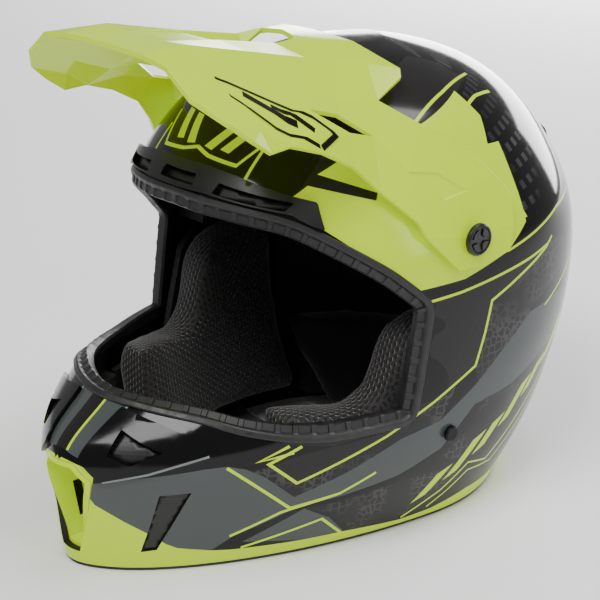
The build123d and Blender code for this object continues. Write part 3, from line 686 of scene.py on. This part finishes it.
def buildShell():
    spec = shellPiece
    pts, edges, holes = [], [], []

    def loop(found):
        first = len(pts)
        chart = [toDisc(p) for p, _ in found]
        pts.extend(chart)
        edges.extend((first + i, first + (i + 1) % len(chart)) for i in range(len(chart)))
        return [tuple(c) for c in chart]

    holes.append(loop(portLoop))
    for view, outline, sides in openings:
        for side in sides:
            holes.append(loop(layOut(view, outline, side, spec["holeStep"])))
    for view, _, outline in graphics:
        for side in (1, -1):
            before = None
            for a, b in densify(outline, spec["edgeStep"]) + outline[:1]:
                got = cast(view, a, b, side)
                if got is None:
                    before = None
                    continue
                if before is not None and np.linalg.norm(got[0] - before) < spec["leap"]:
                    edges.append((len(pts) - 1, len(pts)))
                before = got[0]
                pts.append(toDisc(before))
    # bottom edge
    rim = []
    for j in range(gridCols):
        col = grid[:, j]
        k = int(np.searchsorted(col[:, 2], baseHeight))
        t = (baseHeight - col[k - 1, 2]) / (col[k, 2] - col[k - 1, 2])
        rim.append((col[k - 1] + t * (col[k] - col[k - 1]), None))
    edge = loop(rim)
    known = kdtree.KDTree(len(pts))
    for i, q in enumerate(pts):
        known.insert((q[0], q[1], 0), i)
    known.balance()
    for n, i in enumerate(np.linspace(0, gridRows - 1, spec["fillRows"]).astype(int)):
        girth = np.linalg.norm(np.diff(grid[i], axis=0), axis=1).sum()
        count = max(8, int(girth / spec["fillStep"]))
        for j in (np.arange(count) + 0.5 * (n % 2)) * gridCols / count:
            p = grid[i, int(j) % gridCols]
            if p[2] < baseHeight + spec["rimGap"]:
                continue
            q = toDisc(p)
            if known.find((q[0], q[1], 0))[2] > spec["edgeGap"]:
                pts.append(q)
    co = [Vector((float(a), float(b))) for a, b in pts]
    verts, _, faces, _, _, _ = delaunay_2d_cdt(co, edges, [], 0, 1e-7)
    chart = np.array([(v.x, v.y) for v in verts])
    tris = np.array([f for f in faces if len(f) == 3])
    mid = chart[tris].mean(1)
    keep = inPolygon(mid[:, 0], mid[:, 1], edge)
    for h in holes:
        keep &= ~inPolygon(mid[:, 0], mid[:, 1], h)
    names = ["black", "charcoal", "grey", "yellow", "smoke", "hex", "diamond", "edge", "raw"]
    # rear of the shell carries the diamond print
    tris, mid = tris[keep], mid[keep]
    space = np.array([fromDisc(q)[0] for q in mid])
    colour = np.zeros(len(tris), int)
    behind, above = spec["diamondFrom"]
    colour[(space[:, 2] > above) & (space[:, 1] > behind)] = names.index("diamond")
    ahead, high = space[:, 1] < spec["frontBefore"], space[:, 2] > spec["topAbove"]
    for view, name, outline in graphics:
        if view == "side":
            inside = inPolygon(space[:, 1], space[:, 2], outline)
        else:
            upward = space[:, 1 if view == "top" else 2]
            inside = inPolygon(space[:, 0], upward, outline)
            if view != "frontOne":
                inside |= inPolygon(-space[:, 0], upward, outline)
            inside &= {"top": high, "back": ~ahead}.get(view, ahead)
        colour[inside] = names.index(name)
    used = np.unique(tris)
    renumber = -np.ones(len(chart), int)
    renumber[used] = np.arange(len(used))
    tris = renumber[tris]
    lifted = [fromDisc(q) for q in chart[used]]
    outer = np.array([p for p, _ in lifted])
    normal = np.array([n for _, n in lifted])
    n = len(outer)
    inner = outer - normal * spec["wall"]
    a, b, c = outer[tris[0]]
    if np.cross(b - a, c - a) @ normal[tris[0][0]] < 0:
        tris = tris[:, ::-1]
    faces = [tuple(t) for t in tris] + [tuple(n + v for v in t[::-1]) for t in tris]
    kinds = list(colour) + [names.index("raw")] * len(tris)
    directed = dict.fromkeys((t[k], t[(k + 1) % 3]) for t in tris for k in range(3))
    walls = [(b, a, n + a, n + b) for a, b in directed if (b, a) not in directed]
    faces += walls
    kinds += [names.index("raw")] * len(walls)
    obj = meshObject("shellSkin", np.vstack([outer, inner]), faces, "helmet")
    for name in names:
        obj.data.materials.append(mats[name])
    obj.data.polygons.foreach_set("material_index", kinds)
    loopNormals = []
    wallStart = 2 * len(tris)
    for poly in obj.data.polygons:
        for v in poly.vertices:
            if poly.index >= wallStart:
                loopNormals.append(tuple(poly.normal))
            elif v < n:
                loopNormals.append(tuple(normal[v]))
            else:
                loopNormals.append(tuple(-normal[v - n]))
    obj.data.normals_split_custom_set(loopNormals)
    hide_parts("shell_outer")
    print("shell", len(faces))


buildShell()


# plates that lie on the shell; filling points and their distance from an edge, mm
plateFill, plateGap = 2.5, 0.9


def surfacePlate(name, view, outline, low, high, material, side=1, holes=(), cornerRadius=1.5,
                 bevel=0.6,
                 replaces=None):
    # A plate following the helmet between two stand-offs, cut to a drawn outline.
    loops = [densify(rounded(outline, cornerRadius), 2.0)] + [densify(rounded(h, 0.8), 2.0) for h in holes]
    pts, edges = [], []
    for lp in loops:
        first = len(pts)
        pts += lp
        edges += [(first + i, first + (i + 1) % len(lp)) for i in range(len(lp))]
    xs, ys = [p[0] for p in loops[0]], [p[1] for p in loops[0]]
    for gx in np.arange(min(xs), max(xs), plateFill):
        for gy in np.arange(min(ys), max(ys), plateFill):
            if inPolygon(np.array([gx]), np.array([gy]), loops[0])[0] and min(
                    math.dist((gx, gy), p) for p in pts) > plateGap:
                pts.append((gx, gy))
    verts, _, faces, _, _, _ = delaunay_2d_cdt([Vector(p) for p in pts], edges, [], 0, 1e-5)
    tris = []
    for f in faces:
        cx, cy = (np.array([sum(verts[i][k] for i in f) / 3]) for k in (0, 1))
        if inPolygon(cx, cy, loops[0])[0] and not any(inPolygon(cx, cy, h)[0] for h in loops[1:]):
            tris.append(tuple(f))
    hits = [cast(view, v[0], v[1], side) for v in verts]
    tris = [t for t in tris if all(hits[i] is not None for i in t)]
    used = sorted({i for t in tris for i in t})
    where = {v: i for i, v in enumerate(used)}
    top = [hits[i][0] + hits[i][1] * high for i in used]
    under = [hits[i][0] + hits[i][1] * low for i in used]
    n = len(used)
    tris = [tuple(where[i] for i in t) for t in tris]
    a, b, c = (np.array(top[i]) for i in tris[0])
    if np.cross(b - a, c - a) @ hits[used[tris[0][0]]][1] < 0:
        tris = [t[::-1] for t in tris]
    faces = tris + [tuple(n + i for i in t[::-1]) for t in tris]
    directed = {e for t in tris for e in ((t[0], t[1]), (t[1], t[2]), (t[2], t[0]))}
    faces += [(b, a, n + a, n + b) for a, b in directed if (b, a) not in directed]
    obj = meshObject(name, top + under, faces, "helmet")
    obj.data.materials.append(mats[material])
    if bevel:
        soften(obj, bevel, 50)
    if replaces:
        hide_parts(replaces)


browHalf = [(20, 193.9), (36, 192.2), (50, 190.4), (64, 188.1), (72, 183.6), (78, 181), (71, 194),
    (34, 203.5), (16, 206)]
browFrame = browHalf + [(-x, z) for x, z in browHalf[::-1]]
mirrored = [(-x, z) for x, z in browSide]
surfacePlate("browVentFrame", "front", browFrame, -0.2, 3.4, "satin", holes=[browMid,
    browSide, mirrored],
             bevel=0.9, replaces="brow_vent_frame")
surfacePlate("browMeshCentre", "front", browMid, -2.4, -0.8, "punched", replaces="brow_mesh_centre",
             bevel=0)
scoop = [(17.5, 88.5), (13.1, 66.4), (24, 55.8), (42.3, 61.8), (61, 70.5), (62, 76.5), (40, 83.5)]
exhaust = [(26, 196), (52, 190), (47, 178), (30, 181)]
for side, hand in ((1, "left"), (-1, "right")):
    cap = hand.capitalize()
    surfacePlate("browMesh" + cap, "front", browSide, -2.4, -0.8, "punched", side,
                 replaces=f"brow_mesh_{hand}", bevel=0)
    surfacePlate("chinScoop" + cap, "front", scoop, -0.2, 2.5, "gloss", side,
                 holes=[scoopHole], bevel=0.8,
                 replaces=f"chin_scoop_{hand}")
    surfacePlate("scoopMesh" + cap, "front", scoopHole, -2.8, -1.2, "punched", side,
                 replaces=f"scoop_mesh_{hand}", bevel=0)
    surfacePlate("chinSlotMesh" + cap, "front", chinSlot, -2.6, -1.0, "punched", side,
                 replaces=f"chin_slot_mesh_{hand}", bevel=0)
    surfacePlate("rearExhaust" + cap, "back", exhaust, -0.2, 2.8, "satin", side,
                 holes=[exhaustHole], bevel=0.8,
                 replaces=f"rear_exhaust_{hand}")
    surfacePlate("exhaustMesh" + cap, "back", exhaustHole, -2.4, -0.8, "punched", side,
                 replaces=f"exhaust_mesh_{hand}", bevel=0)
print("plates")


# eye-port rubber
# rib spacing and depth, bevel, mm; along each rib, where it stands (1) and where it lies low (0)
trimPiece = {"ribPitch": 10.0, "ribDepth": 0.9, "bevel": 0.25, "smoothing": 7,
             "rib": ((0.0, 1), (0.13, 1), (0.18, 0), (0.50, 0), (0.82, 0), (0.87, 1))}


def buildTrim():
    # Lipped rubber round the eye port: smooth outer lip, then a ribbed inner flange.
    pos = np.array([p for p, _ in portLoop])
    nrm = np.array([n for _, n in portLoop])
    seg = np.linalg.norm(np.roll(pos, -1, 0) - pos, axis=1)
    run = np.r_[0, np.cumsum(seg)]
    total = run[-1]
    posC, nrmC = np.vstack([pos, pos[:1]]), np.vstack([nrm, nrm[:1]])
    ribPitch = total / round(total / trimPiece["ribPitch"])
    at, level = [], []
    s = 0.0
    while s < total - 0.01:
        for frac, up in trimPiece["rib"]:
            at.append(s + frac * ribPitch)
            level.append(up)
        s += ribPitch
    at, level = np.array(at), np.array(level, float)
    p = np.c_[[np.interp(at, run, posC[:, k]) for k in range(3)]].T
    n = np.c_[[np.interp(at, run, nrmC[:, k]) for k in range(3)]].T
    wide = trimPiece["smoothing"]
    for _ in range(2):
        n = sum(np.roll(n, k, 0) for k in range(-wide, wide + 1))
        n /= np.linalg.norm(n, axis=1)[:, None]
    t = np.roll(p, -1, 0) - np.roll(p, 1, 0)
    t /= np.linalg.norm(t, axis=1)[:, None]
    w = np.cross(n, t)
    w /= np.linalg.norm(w, axis=1)[:, None]
    if w[len(w) // 4] @ (np.array([0, -60, 130]) - p[len(w) // 4]) < 0:
        w = -w
    # (across the opening, off the shell, follows the ribs)
    profile = [(-1.6, 0.1, 0), (-1.5, 1.2, 0), (-0.8, 1.8, 0), (1.4, 1.8, 0), (2.3, 1.3, 0), (2.9, 0.3, 0),
        (3.3, -0.1, 1), (6.9, -1.2, 1), (7.3, -1.8, 0), (7.6, -3.0, 0), (7.2, -6.4, 0), (6.0, -7.6, 0),
        (0.4, -7.6, 0), (0.4, -0.1, 0)]
    verts = []
    for i in range(len(p)):
        for a, b, rib in profile:
            lift = b - trimPiece["ribDepth"] * (1 - level[i]) * rib
            verts.append(p[i] + w[i] * a + n[i] * lift)
    obj = meshObject("eyePortTrim", verts, tube(len(p), len(profile)), "helmet")
    turnOutward(obj)
    obj.data.materials.append(mats["trim"])
    soften(obj, trimPiece["bevel"], 28)
    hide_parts("eyeport_trim")


buildTrim()
print("trim")

# peak
peakPiece = {"wall": 2.6, "bevel": 1.1, "recessEdge": 1.0, "recess": 0.9, "decalLift": 0.18,
             "decalFill": 1.2}
# corner points of the wearer's-left half, mm
peakPoints = {
    "F0": (0, -130.5, 278.6), "F1": (14, -130.7, 278.4), "F2": (32, -131, 277.8), "F3": (50, -131.5, 275.5),
    "F4": (67, -130, 262.5), "F5": (82, -119, 251), "F6": (86, -107, 241), "F7": (86, -95.4, 232.5),
    "A0": (0, -104, 277.0), "A1": (14, -104, 277.4), "A2": (32, -105, 279.0), "A3": (52, -98, 265.0),
    "A4": (70, -99, 253.5), "A5": (80, -98, 244.0),
    "B0": (0, -69, 271.2), "BB": (12, -69, 271.2), "B1": (15, -69, 272.6), "B2": (32, -65, 269.0),
    "B3": (56, -72, 254.0), "B4": (72, -74, 244.0), "B5": (85, -81.5, 233.5),
    "C0": (0, -30, 257.5), "CC": (12, -30, 257.5), "C1": (15, -30, 264.5), "C2": (34, -26, 259.5),
    "C3": (58, -46, 249.0), "S1": (70, -56.7, 244.8), "C5": (80, -60, 236.5), "E1": (87, -62, 226.5),
    "D0": (0, -12, 266.5), "DD": (12, -15, 265.8), "D1": (15, -17, 264.8), "D2": (40, -9, 256.6),
    "D3": (62, -30, 243.5), "S2": (72, -38.5, 239.0), "S3": (83, -24, 227.0), "S4": (80.5, -38, 231.0),
    "E2": (89, -43.5, 216.0), "E3": (95.5, -30, 201.0), "R5": (48.6, 4.9, 254.0), "N": (67.7, -5.6, 239.6),
    "T0": (0, 12, 262.6), "TT": (13, 12.5, 262.2), "T1": (28, 14.6, 260.6), "T2": (60.5, 17.7, 251.2),
    "T3": (65, 13.9, 248.0), "K1": (84, 4.4, 230.4), "K2": (91, 11.1, 225.0), "Q4": (103, 28.7, 212.6),
    "Q3": (110.5, 38.2, 200.6), "Q2": (116.5, 46.3, 189.5), "Q1": (122.5, 42.5, 174.1),
    "W1": (125, 37.5, 161.1),
    "W2": (123.4, 19.2, 157.0), "E6": (120.4, 4.1, 156.6), "E5": (112.5, -13, 176.6),
    "E4": (108.5, -15.5, 184.6),
    "M1": (96.4, -11.5, 208.4), "M2": (102.4, 3.5, 206.2), "M3": (111.2, 17.3, 195.6),
    "M4": (109.4, 2.1, 192.9),
    "H": (120.4, 15.0, 172.0),
}
peakFaces = [
    "F0 F1 A1 A0", "F1 F2 A2 A1", "F2 F3 A3 A2", "F3 F4 A4 A3", "F4 F5 A5 A4", "F5 F6 A5", "F6 F7 A5",
    "A0 A1 BB B0", "A1 B1 BB", "A1 A2 B2 B1", "A2 A3 B3 B2", "A3 A4 B4 B3", "A4 A5 B5 B4", "A5 F7 B5",
    "B0 BB CC C0", "BB B1 C1 CC", "B1 B2 C2 C1", "B2 B3 C3 C2", "B3 B4 S1 C3", "B4 B5 C5 S1", "B5 E1 C5",
    "CC C1 D1 DD", "C1 C2 D2 D1", "C2 C3 D3 D2", "C3 S1 S2 D3", "S1 C5 S4", "C5 E1 E2 S4", "S4 E2 E3 S3",
    "D3 S2 S3 N", "D2 D3 N R5", "D0 DD TT T0", "DD D1 T1 TT", "D1 D2 R5 T1", "R5 T2 T1", "R5 N T3 T2",
    "N S3 M1 K1", "K1 M1 M2 K2", "K2 M2 Q4", "M2 M3 Q3 Q4", "S3 E3 M1", "M1 E3 E4 M4", "M1 M4 M3 M2",
    "M4 E4 E5", "M4 E5 H", "E5 E6 H", "E6 W2 H", "W2 W1 H", "W1 Q1 H", "Q1 Q2 H", "Q2 Q3 H", "Q3 M3 H",
    "M3 M4 H",
]


def buildPeak():
    index, pts, faces = {}, [], []
    for text in peakFaces:
        for side in (1, -1):
            ids = []
            for name in text.split():
                x, y, z = peakPoints[name]
                key = (name, side if x > 0 else 1)
                if key not in index:
                    index[key] = len(pts)
                    pts.append((side * x, y, z))
                ids.append(index[key])
            faces.append(ids if side > 0 else ids[::-1])
    obj = meshObject("peakVisor", pts, faces, None, smooth=False)
    bm = bmesh.new()
    bm.from_mesh(obj.data)
    up = next(f for f in bm.faces if len(f.verts) == 4)
    bm.normal_update()
    if up.normal.z < 0:
        bmesh.ops.reverse_faces(bm, faces=bm.faces)
    # recess the long triangle pressed into each arm
    for side in (1, -1):
        want = [Vector(pts[index[(k, side)]]) * mm for k in ("M1", "M2", "M3", "M4")]
        for f in list(bm.faces):
            if len(f.verts) == 4 and all(min((v.co - w).length for w in want) < 1e-6 for v in f.verts):
                bmesh.ops.inset_individual(bm, faces=[f], thickness=peakPiece["recessEdge"] * mm,
                                               depth=-peakPiece["recess"] * mm)
    bm.to_mesh(obj.data)
    bm.free()
    shell = obj.modifiers.new("wall", "SOLIDIFY")
    shell.thickness = peakPiece["wall"] * mm
    shell.offset = -1
    soften(obj, peakPiece["bevel"], 7, segments=3)
    obj.data.polygons.foreach_set("use_smooth", [True] * len(obj.data.polygons))
    obj.data.materials.append(mats["yellow"])
    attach(obj, "peak")
    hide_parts("peak")
    return obj


peakObj = buildPeak()


def peakDecal():
    # Black pinstripe frame and bars on each flank of the peak, generic shapes.
    bpy.context.view_layer.update()
    deps = bpy.context.evaluated_depsgraph_get()
    grown = peakObj.evaluated_get(deps).to_mesh()
    tree = BVHTree.FromPolygons([v.co.copy() for v in grown.vertices],
                                [tuple(p.vertices) for p in grown.polygons])
    shapes = [
        stripe([(53, -104), (64, -73), (74, -58), (81.5, -49), (85.5, -62)], 1.9),
        stripe([(59, -107), (70, -97), (78, -86), (82, -72), (85, -63)], 1.6),
        stripe([(61, -93), (76, -70)], 4.2), stripe([(66, -79), (70, -70), (80, -62)], 3.0), ]
    verts, faces = [], []
    for outline in shapes:
        fill = peakPiece["decalFill"]
        loop = densify(outline, fill)
        pts = list(loop)
        xs, ys = [p[0] for p in loop], [p[1] for p in loop]
        edges = [(i, (i + 1) % len(loop)) for i in range(len(loop))]
        for gx in np.arange(min(xs), max(xs), fill):
            for gy in np.arange(min(ys), max(ys), fill):
                if inPolygon(np.array([gx]), np.array([gy]), loop)[0]:
                    pts.append((gx, gy))
        co, _, tris, _, _, _ = delaunay_2d_cdt([Vector(p) for p in pts], edges, [], 1, 1e-5)
        for side in (1, -1):
            first = len(verts)
            good = []
            for v in co:
                hit, n, _, _ = tree.ray_cast(Vector((side * v.x * mm, v.y * mm, 0.4)), Vector((0, 0, -1)))
                good.append(hit is not None and hit.z > 0.2)
                lifted = (0, 0, 0) if hit is None else tuple((hit + n * peakPiece["decalLift"] * mm) / mm)
                verts.append(lifted)
            for t in tris:
                if all(good[i] for i in t):
                    ids = [first + i for i in t]
                    faces.append(ids if side > 0 else ids[::-1])
    used = sorted({i for f in faces for i in f})
    where = {v: i for i, v in enumerate(used)}
    obj = meshObject("peakPinstripe", [verts[i] for i in used], [[where[i] for i in f] for f in faces],
                     "peak")
    obj.data.materials.append(mats["black"])


peakDecal()
print("peak")


# side screws
def lathe(name, profile, centre, side, body, material, around=48):
    # Turned part about the X axis: profile is (distance outwards, radius).
    verts, faces = [], []
    for i in range(around):
        a = 2 * math.pi * i / around
        for x, r in profile:
            verts.append((side * x, centre[0] + r * math.cos(a), centre[1] + r * math.sin(a)))
    m = len(profile)
    for i in range(around):
        j = (i + 1) % around
        for k in range(m - 1):
            faces.append((i * m + k, i * m + k + 1, j * m + k + 1, j * m + k))
    obj = meshObject(name, verts, faces, body)
    turnOutward(obj, weld=1e-6)
    obj.data.materials.append(mats[material])
    soften(obj, 0.25, 35)
    return obj


# underside of the head and end of the shank out from the middle, their radii, the axis (y, z), and the drive
# blocks' outer and inner radius with half the angle each spans, mm and degrees
screwPiece = {"head": 121.4, "tip": 104, "shank": 2.9, "rim": 8.75, "centre": (15.0, 172.0),
              "blockOuter": (6.2, 32), "blockInner": (2.6, 24)}
head, tip, shank, rim = (screwPiece[k] for k in ("head", "tip", "shank", "rim"))
screwProfile = [(tip, 0), (tip, shank), (head, shank), (head, rim), (head + 2.2, rim), (head + 3.0, 8.0),
                (head + 3.1, 7.2), (head + 2.3, 6.8), (head + 2.2, 0)]
for side, hand in ((1, "left"), (-1, "right")):
    body = f"peak_screw_{hand}"
    screw = lathe("peakScrew" + hand.capitalize(), screwProfile, screwPiece["centre"], side, body, "satin")
    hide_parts(f"peak_screw_{hand}")
    # four raised drive blocks between the slots
    for q in range(4):
        a0 = math.radians(45 + 90 * q)
        ring = []
        for (radius, half), count, way in ((screwPiece["blockOuter"], 7, 1), (screwPiece["blockInner"], 5,
            -1)):
            for k in range(count):
                a = a0 + math.radians(way * (2 * half * k / (count - 1) - half))
                ring.append((radius * math.cos(a), radius * math.sin(a)))
        cy, cz = screwPiece["centre"]
        low = [(side * (head + 2.0), cy + a, cz + b) for a, b in ring]
        high = [(side * (head + 3.2), cy + a, cz + b) for a, b in ring]
        n = len(ring)
        faces = [tuple(range(n)), tuple(range(2 * n - 1, n - 1, -1))]
        faces += [(i, (i + 1) % n, n + (i + 1) % n, n + i) for i in range(n)]
        block = meshObject(f"peakScrewDrive{hand.capitalize()}{q}", low + high, faces, body)
        turnOutward(block)
        block.data.materials.append(mats["satin"])
        soften(block, 0.3, 50)
print("screws")


# soft lining
def mapByAxis(obj):
    # Millimetre maps laid on from the side each face looks to.
    layer = obj.data.uv_layers.new(name="weave")
    for poly in obj.data.polygons:
        nx, ny, nz = (abs(c) for c in poly.normal)
        for li in poly.loop_indices:
            co = obj.data.vertices[obj.data.loops[li].vertex_index].co / mm
            if ny >= nx and ny >= nz:
                uv = (co.x, co.z)
            elif nx >= nz:
                uv = (co.y, co.z)
            else:
                uv = (co.x, co.y)
            layer.data[li].uv = uv


def relax(mesh, passes, shrink=0.0):
    # Evens out the lumps of a mesh, then draws it in along its normals.
    bm = bmesh.new()
    bm.from_mesh(mesh)
    for _ in range(passes):
        bmesh.ops.smooth_vert(bm, verts=bm.verts, factor=0.5, use_axis_x=True, use_axis_y=True,
                              use_axis_z=True)
    if shrink:
        bm.normal_update()
        for v in bm.verts:
            v.co -= v.normal * shrink
    bm.to_mesh(mesh)
    bm.free()


# air pressure, cloth quality and stiffness, and the frames it has to fill in
padPiece = {"pressure": 4.0, "quality": 4, "stretch": 12, "bend": 0.6, "frames": 20}


def puff(name, node, body, material, shrink, cap, voxel=6.0):
    # A stuffed piece grown by cloth pressure from its slightly smaller solid, by cap mm at most.
    mesh = nodes[node].data.copy()
    obj = bpy.data.objects.new(name, mesh)
    bpy.context.scene.collection.objects.link(obj)
    mesh.materials.clear()
    mod = obj.modifiers.new("remesh", "REMESH")
    mod.mode = "VOXEL"
    mod.voxel_size = voxel * mm
    bpy.context.view_layer.update()
    deps = bpy.context.evaluated_depsgraph_get()
    done = bpy.data.meshes.new_from_object(obj.evaluated_get(deps))
    obj.modifiers.clear()
    obj.data = done
    relax(done, 1, shrink * mm)
    start = np.array([v.co for v in done.vertices])
    cloth = obj.modifiers.new("cloth", "CLOTH")
    cloth.settings.quality = padPiece["quality"]
    cloth.settings.use_pressure = True
    cloth.settings.uniform_pressure_force = padPiece["pressure"]
    cloth.settings.effector_weights.gravity = 0
    cloth.settings.tension_stiffness = cloth.settings.compression_stiffness = padPiece["stretch"]
    cloth.settings.bending_stiffness = padPiece["bend"]
    cloth.collision_settings.use_collision = False
    cloth.collision_settings.use_self_collision = False
    scene = bpy.context.scene
    for f in range(1, padPiece["frames"] + 1):
        scene.frame_set(f)
    deps = bpy.context.evaluated_depsgraph_get()
    grown = bpy.data.meshes.new_from_object(obj.evaluated_get(deps))
    obj.modifiers.clear()
    end = np.array([v.co for v in grown.vertices])
    move = end - start
    length = np.linalg.norm(move, axis=1)
    move *= np.minimum(1, cap * mm / np.maximum(length, 1e-9))[:, None]
    done.vertices.foreach_set("co", (start + move).ravel())
    scene.frame_set(1)
    relax(done, 2)
    done.polygons.foreach_set("use_smooth", [True] * len(done.polygons))
    done.materials.append(mats[material])
    mapByAxis(obj)
    sub = obj.modifiers.new("fine", "SUBSURF")
    sub.levels = sub.render_levels = 1
    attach(obj, body)
    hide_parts(node)


puff("cheekPadLeft", "cheek_pad_left", "cheek_pad_left", "mesh", 1.5, 5.0)
puff("cheekPadRight", "cheek_pad_right", "cheek_pad_right", "mesh", 1.5, 5.0)
puff("neckRoll", "neck_roll", "helmet", "knit", 1.5, 5.0)
puff("comfortLiner", "comfort_liner", "helmet", "knit", 0.6, 3.0, voxel=4.5)
print("padding")

# chin-strap webbing
strapPiece = {"thick": 1.6, "y0": -3.0, "y1": 22.0, "ribs": 15, "ribDepth": 0.12}
strapDown = [(104.6, 66), (103.5, 59), (101.7, 50), (95.8, 30), (91.6, 20), (85.5, 11.6), (77, 8.6),
    (60, 6.6)]
strapLong = strapDown + [(0, 3.4), (-17, 3.2), (-21.2, 4.4), (-21.2, 12.2), (-17, 13.6), (6, 12.8),
    (30, 12.4)]
strapShort = [(-x, z) for x, z in strapDown] + [(-38, 5.6), (-34.8, 5.85), (-25.2, 5.85), (-25.2, 10.95),
    (-34.8, 10.95), (-35.2, 8)]


def ribbon(name, node, path):
    # woven ribbon: fine lengthwise ribs and thinner selvedges, following an (x, z) path
    line = densify(rounded(path, 3.0, closed=False), 1.5, closed=False)
    spec = strapPiece
    across = []
    count = 4 * spec["ribs"]
    for side in (1, -1):
        for i in range(count + 1):
            t = i / count if side > 0 else 1 - i / count
            edge = min(1.0, 0.35 + 12 * min(t, 1 - t))
            half = spec["thick"] / 2 * edge - spec["ribDepth"] * (i % 4 == 0)
            across.append((spec["y0"] + t * (spec["y1"] - spec["y0"]), side * half))
    verts = []
    for i, (x, z) in enumerate(line):
        x0, z0 = line[max(0, i - 1)]
        x1, z1 = line[min(len(line) - 1, i + 1)]
        d = math.hypot(x1 - x0, z1 - z0)
        nx, nz = -(z1 - z0) / d, (x1 - x0) / d
        verts += [(x + nx * b, a, z + nz * b) for a, b in across]
    m = len(across)
    faces = tube(len(line), m)[:-m]
    faces += [tuple(range(m)), tuple(range((len(line) - 1) * m, len(line) * m))[::-1]]
    obj = meshObject(name, verts, faces, "chin_strap")
    turnOutward(obj)
    obj.data.materials.append(mats["webbing"])
    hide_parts(node)


ribbon("chinStrapLong", "strap_left", strapLong)
ribbon("chinStrapShort", "strap_right", strapShort)
print("webbing")

# CAD nodes that keep their shape
kept = {
    "base_trim": "trim", "eps_crown_liner": "foam", "eps_chin_liner": "foam", "cheek_core_left": "foam",
    "cheek_core_right": "foam", "mouth_vent_duct": "yellow", "mouth_vent_grille": "punched",
    "peak_nut_left": "steel", "peak_nut_right": "steel", "peak_washer_left": "trim",
    "peak_washer_right": "trim",
    "strap_rivet_left": "blackened", "strap_rivet_right": "blackened", "strap_d_ring": "steel",
    "strap_snap": "satin",
}
for node, key in kept.items():
    nodes[node].data.materials.clear()
    nodes[node].data.materials.append(mats[key])

# floor, light, camera
floorMat, tree, bsdf, spot = newMaterial("studioPaper", {"Base Color": tint("f4f4f4"), "Roughness": 0.9})
floor = meshObject("studioFloor", [(-3, -3, -0.0005), (3, -3, -0.0005), (3, 3, -0.0005),
    (-3, 3, -0.0005)], [(0, 1, 2, 3)], None,
                   scale=1.0)
floor.data.materials.append(floorMat)

world = bpy.data.worlds.new("studioSky")
world.use_nodes = True
world.node_tree.nodes["Background"].inputs[0].default_value = (1, 1, 1, 1)
world.node_tree.nodes["Background"].inputs[1].default_value = 0.36
bpy.context.scene.world = world


def softbox(name, at, aim, size, power):
    light = bpy.data.lights.new(name, "AREA")
    light.shape = "RECTANGLE"
    light.size, light.size_y = size
    light.energy = power
    obj = bpy.data.objects.new(name, light)
    obj.location = at
    obj.rotation_euler = (Vector(aim) - Vector(at)).to_track_quat("-Z", "Y").to_euler()
    bpy.context.scene.collection.objects.link(obj)


softbox("keyLight", (0.35, -1.1, 1.75), (0, 0, 0.12), (1.0, 0.7), 32)
softbox("sideLight", (1.6, 0.1, 0.8), (0, 0, 0.12), (0.25, 1.1), 6)
softbox("backLight", (-0.7, 1.6, 0.36), (0, 0, 0.15), (1.7, 0.55), 40)
softbox("topLight", (0.5, 0.5, 1.9), (0, 0, 0.18), (0.8, 0.8), 20)

cameraTurn, cameraLift, cameraAway = math.radians(47.4), math.radians(21.1), 1.1
cameraAim = Vector((0, 0.0015, 0.107))
level = math.cos(cameraLift)
away = Vector((math.sin(cameraTurn) * level, -math.cos(cameraTurn) * level, math.sin(cameraLift)))
cam = bpy.data.cameras.new("camera")
cam.lens = 115.5
cam.sensor_width = 36
cameraObj = bpy.data.objects.new("camera", cam)
cameraObj.location = cameraAim + away * cameraAway
cameraObj.rotation_euler = (-away).to_track_quat("-Z", "Y").to_euler()
bpy.context.scene.collection.objects.link(cameraObj)
bpy.context.scene.camera = cameraObj
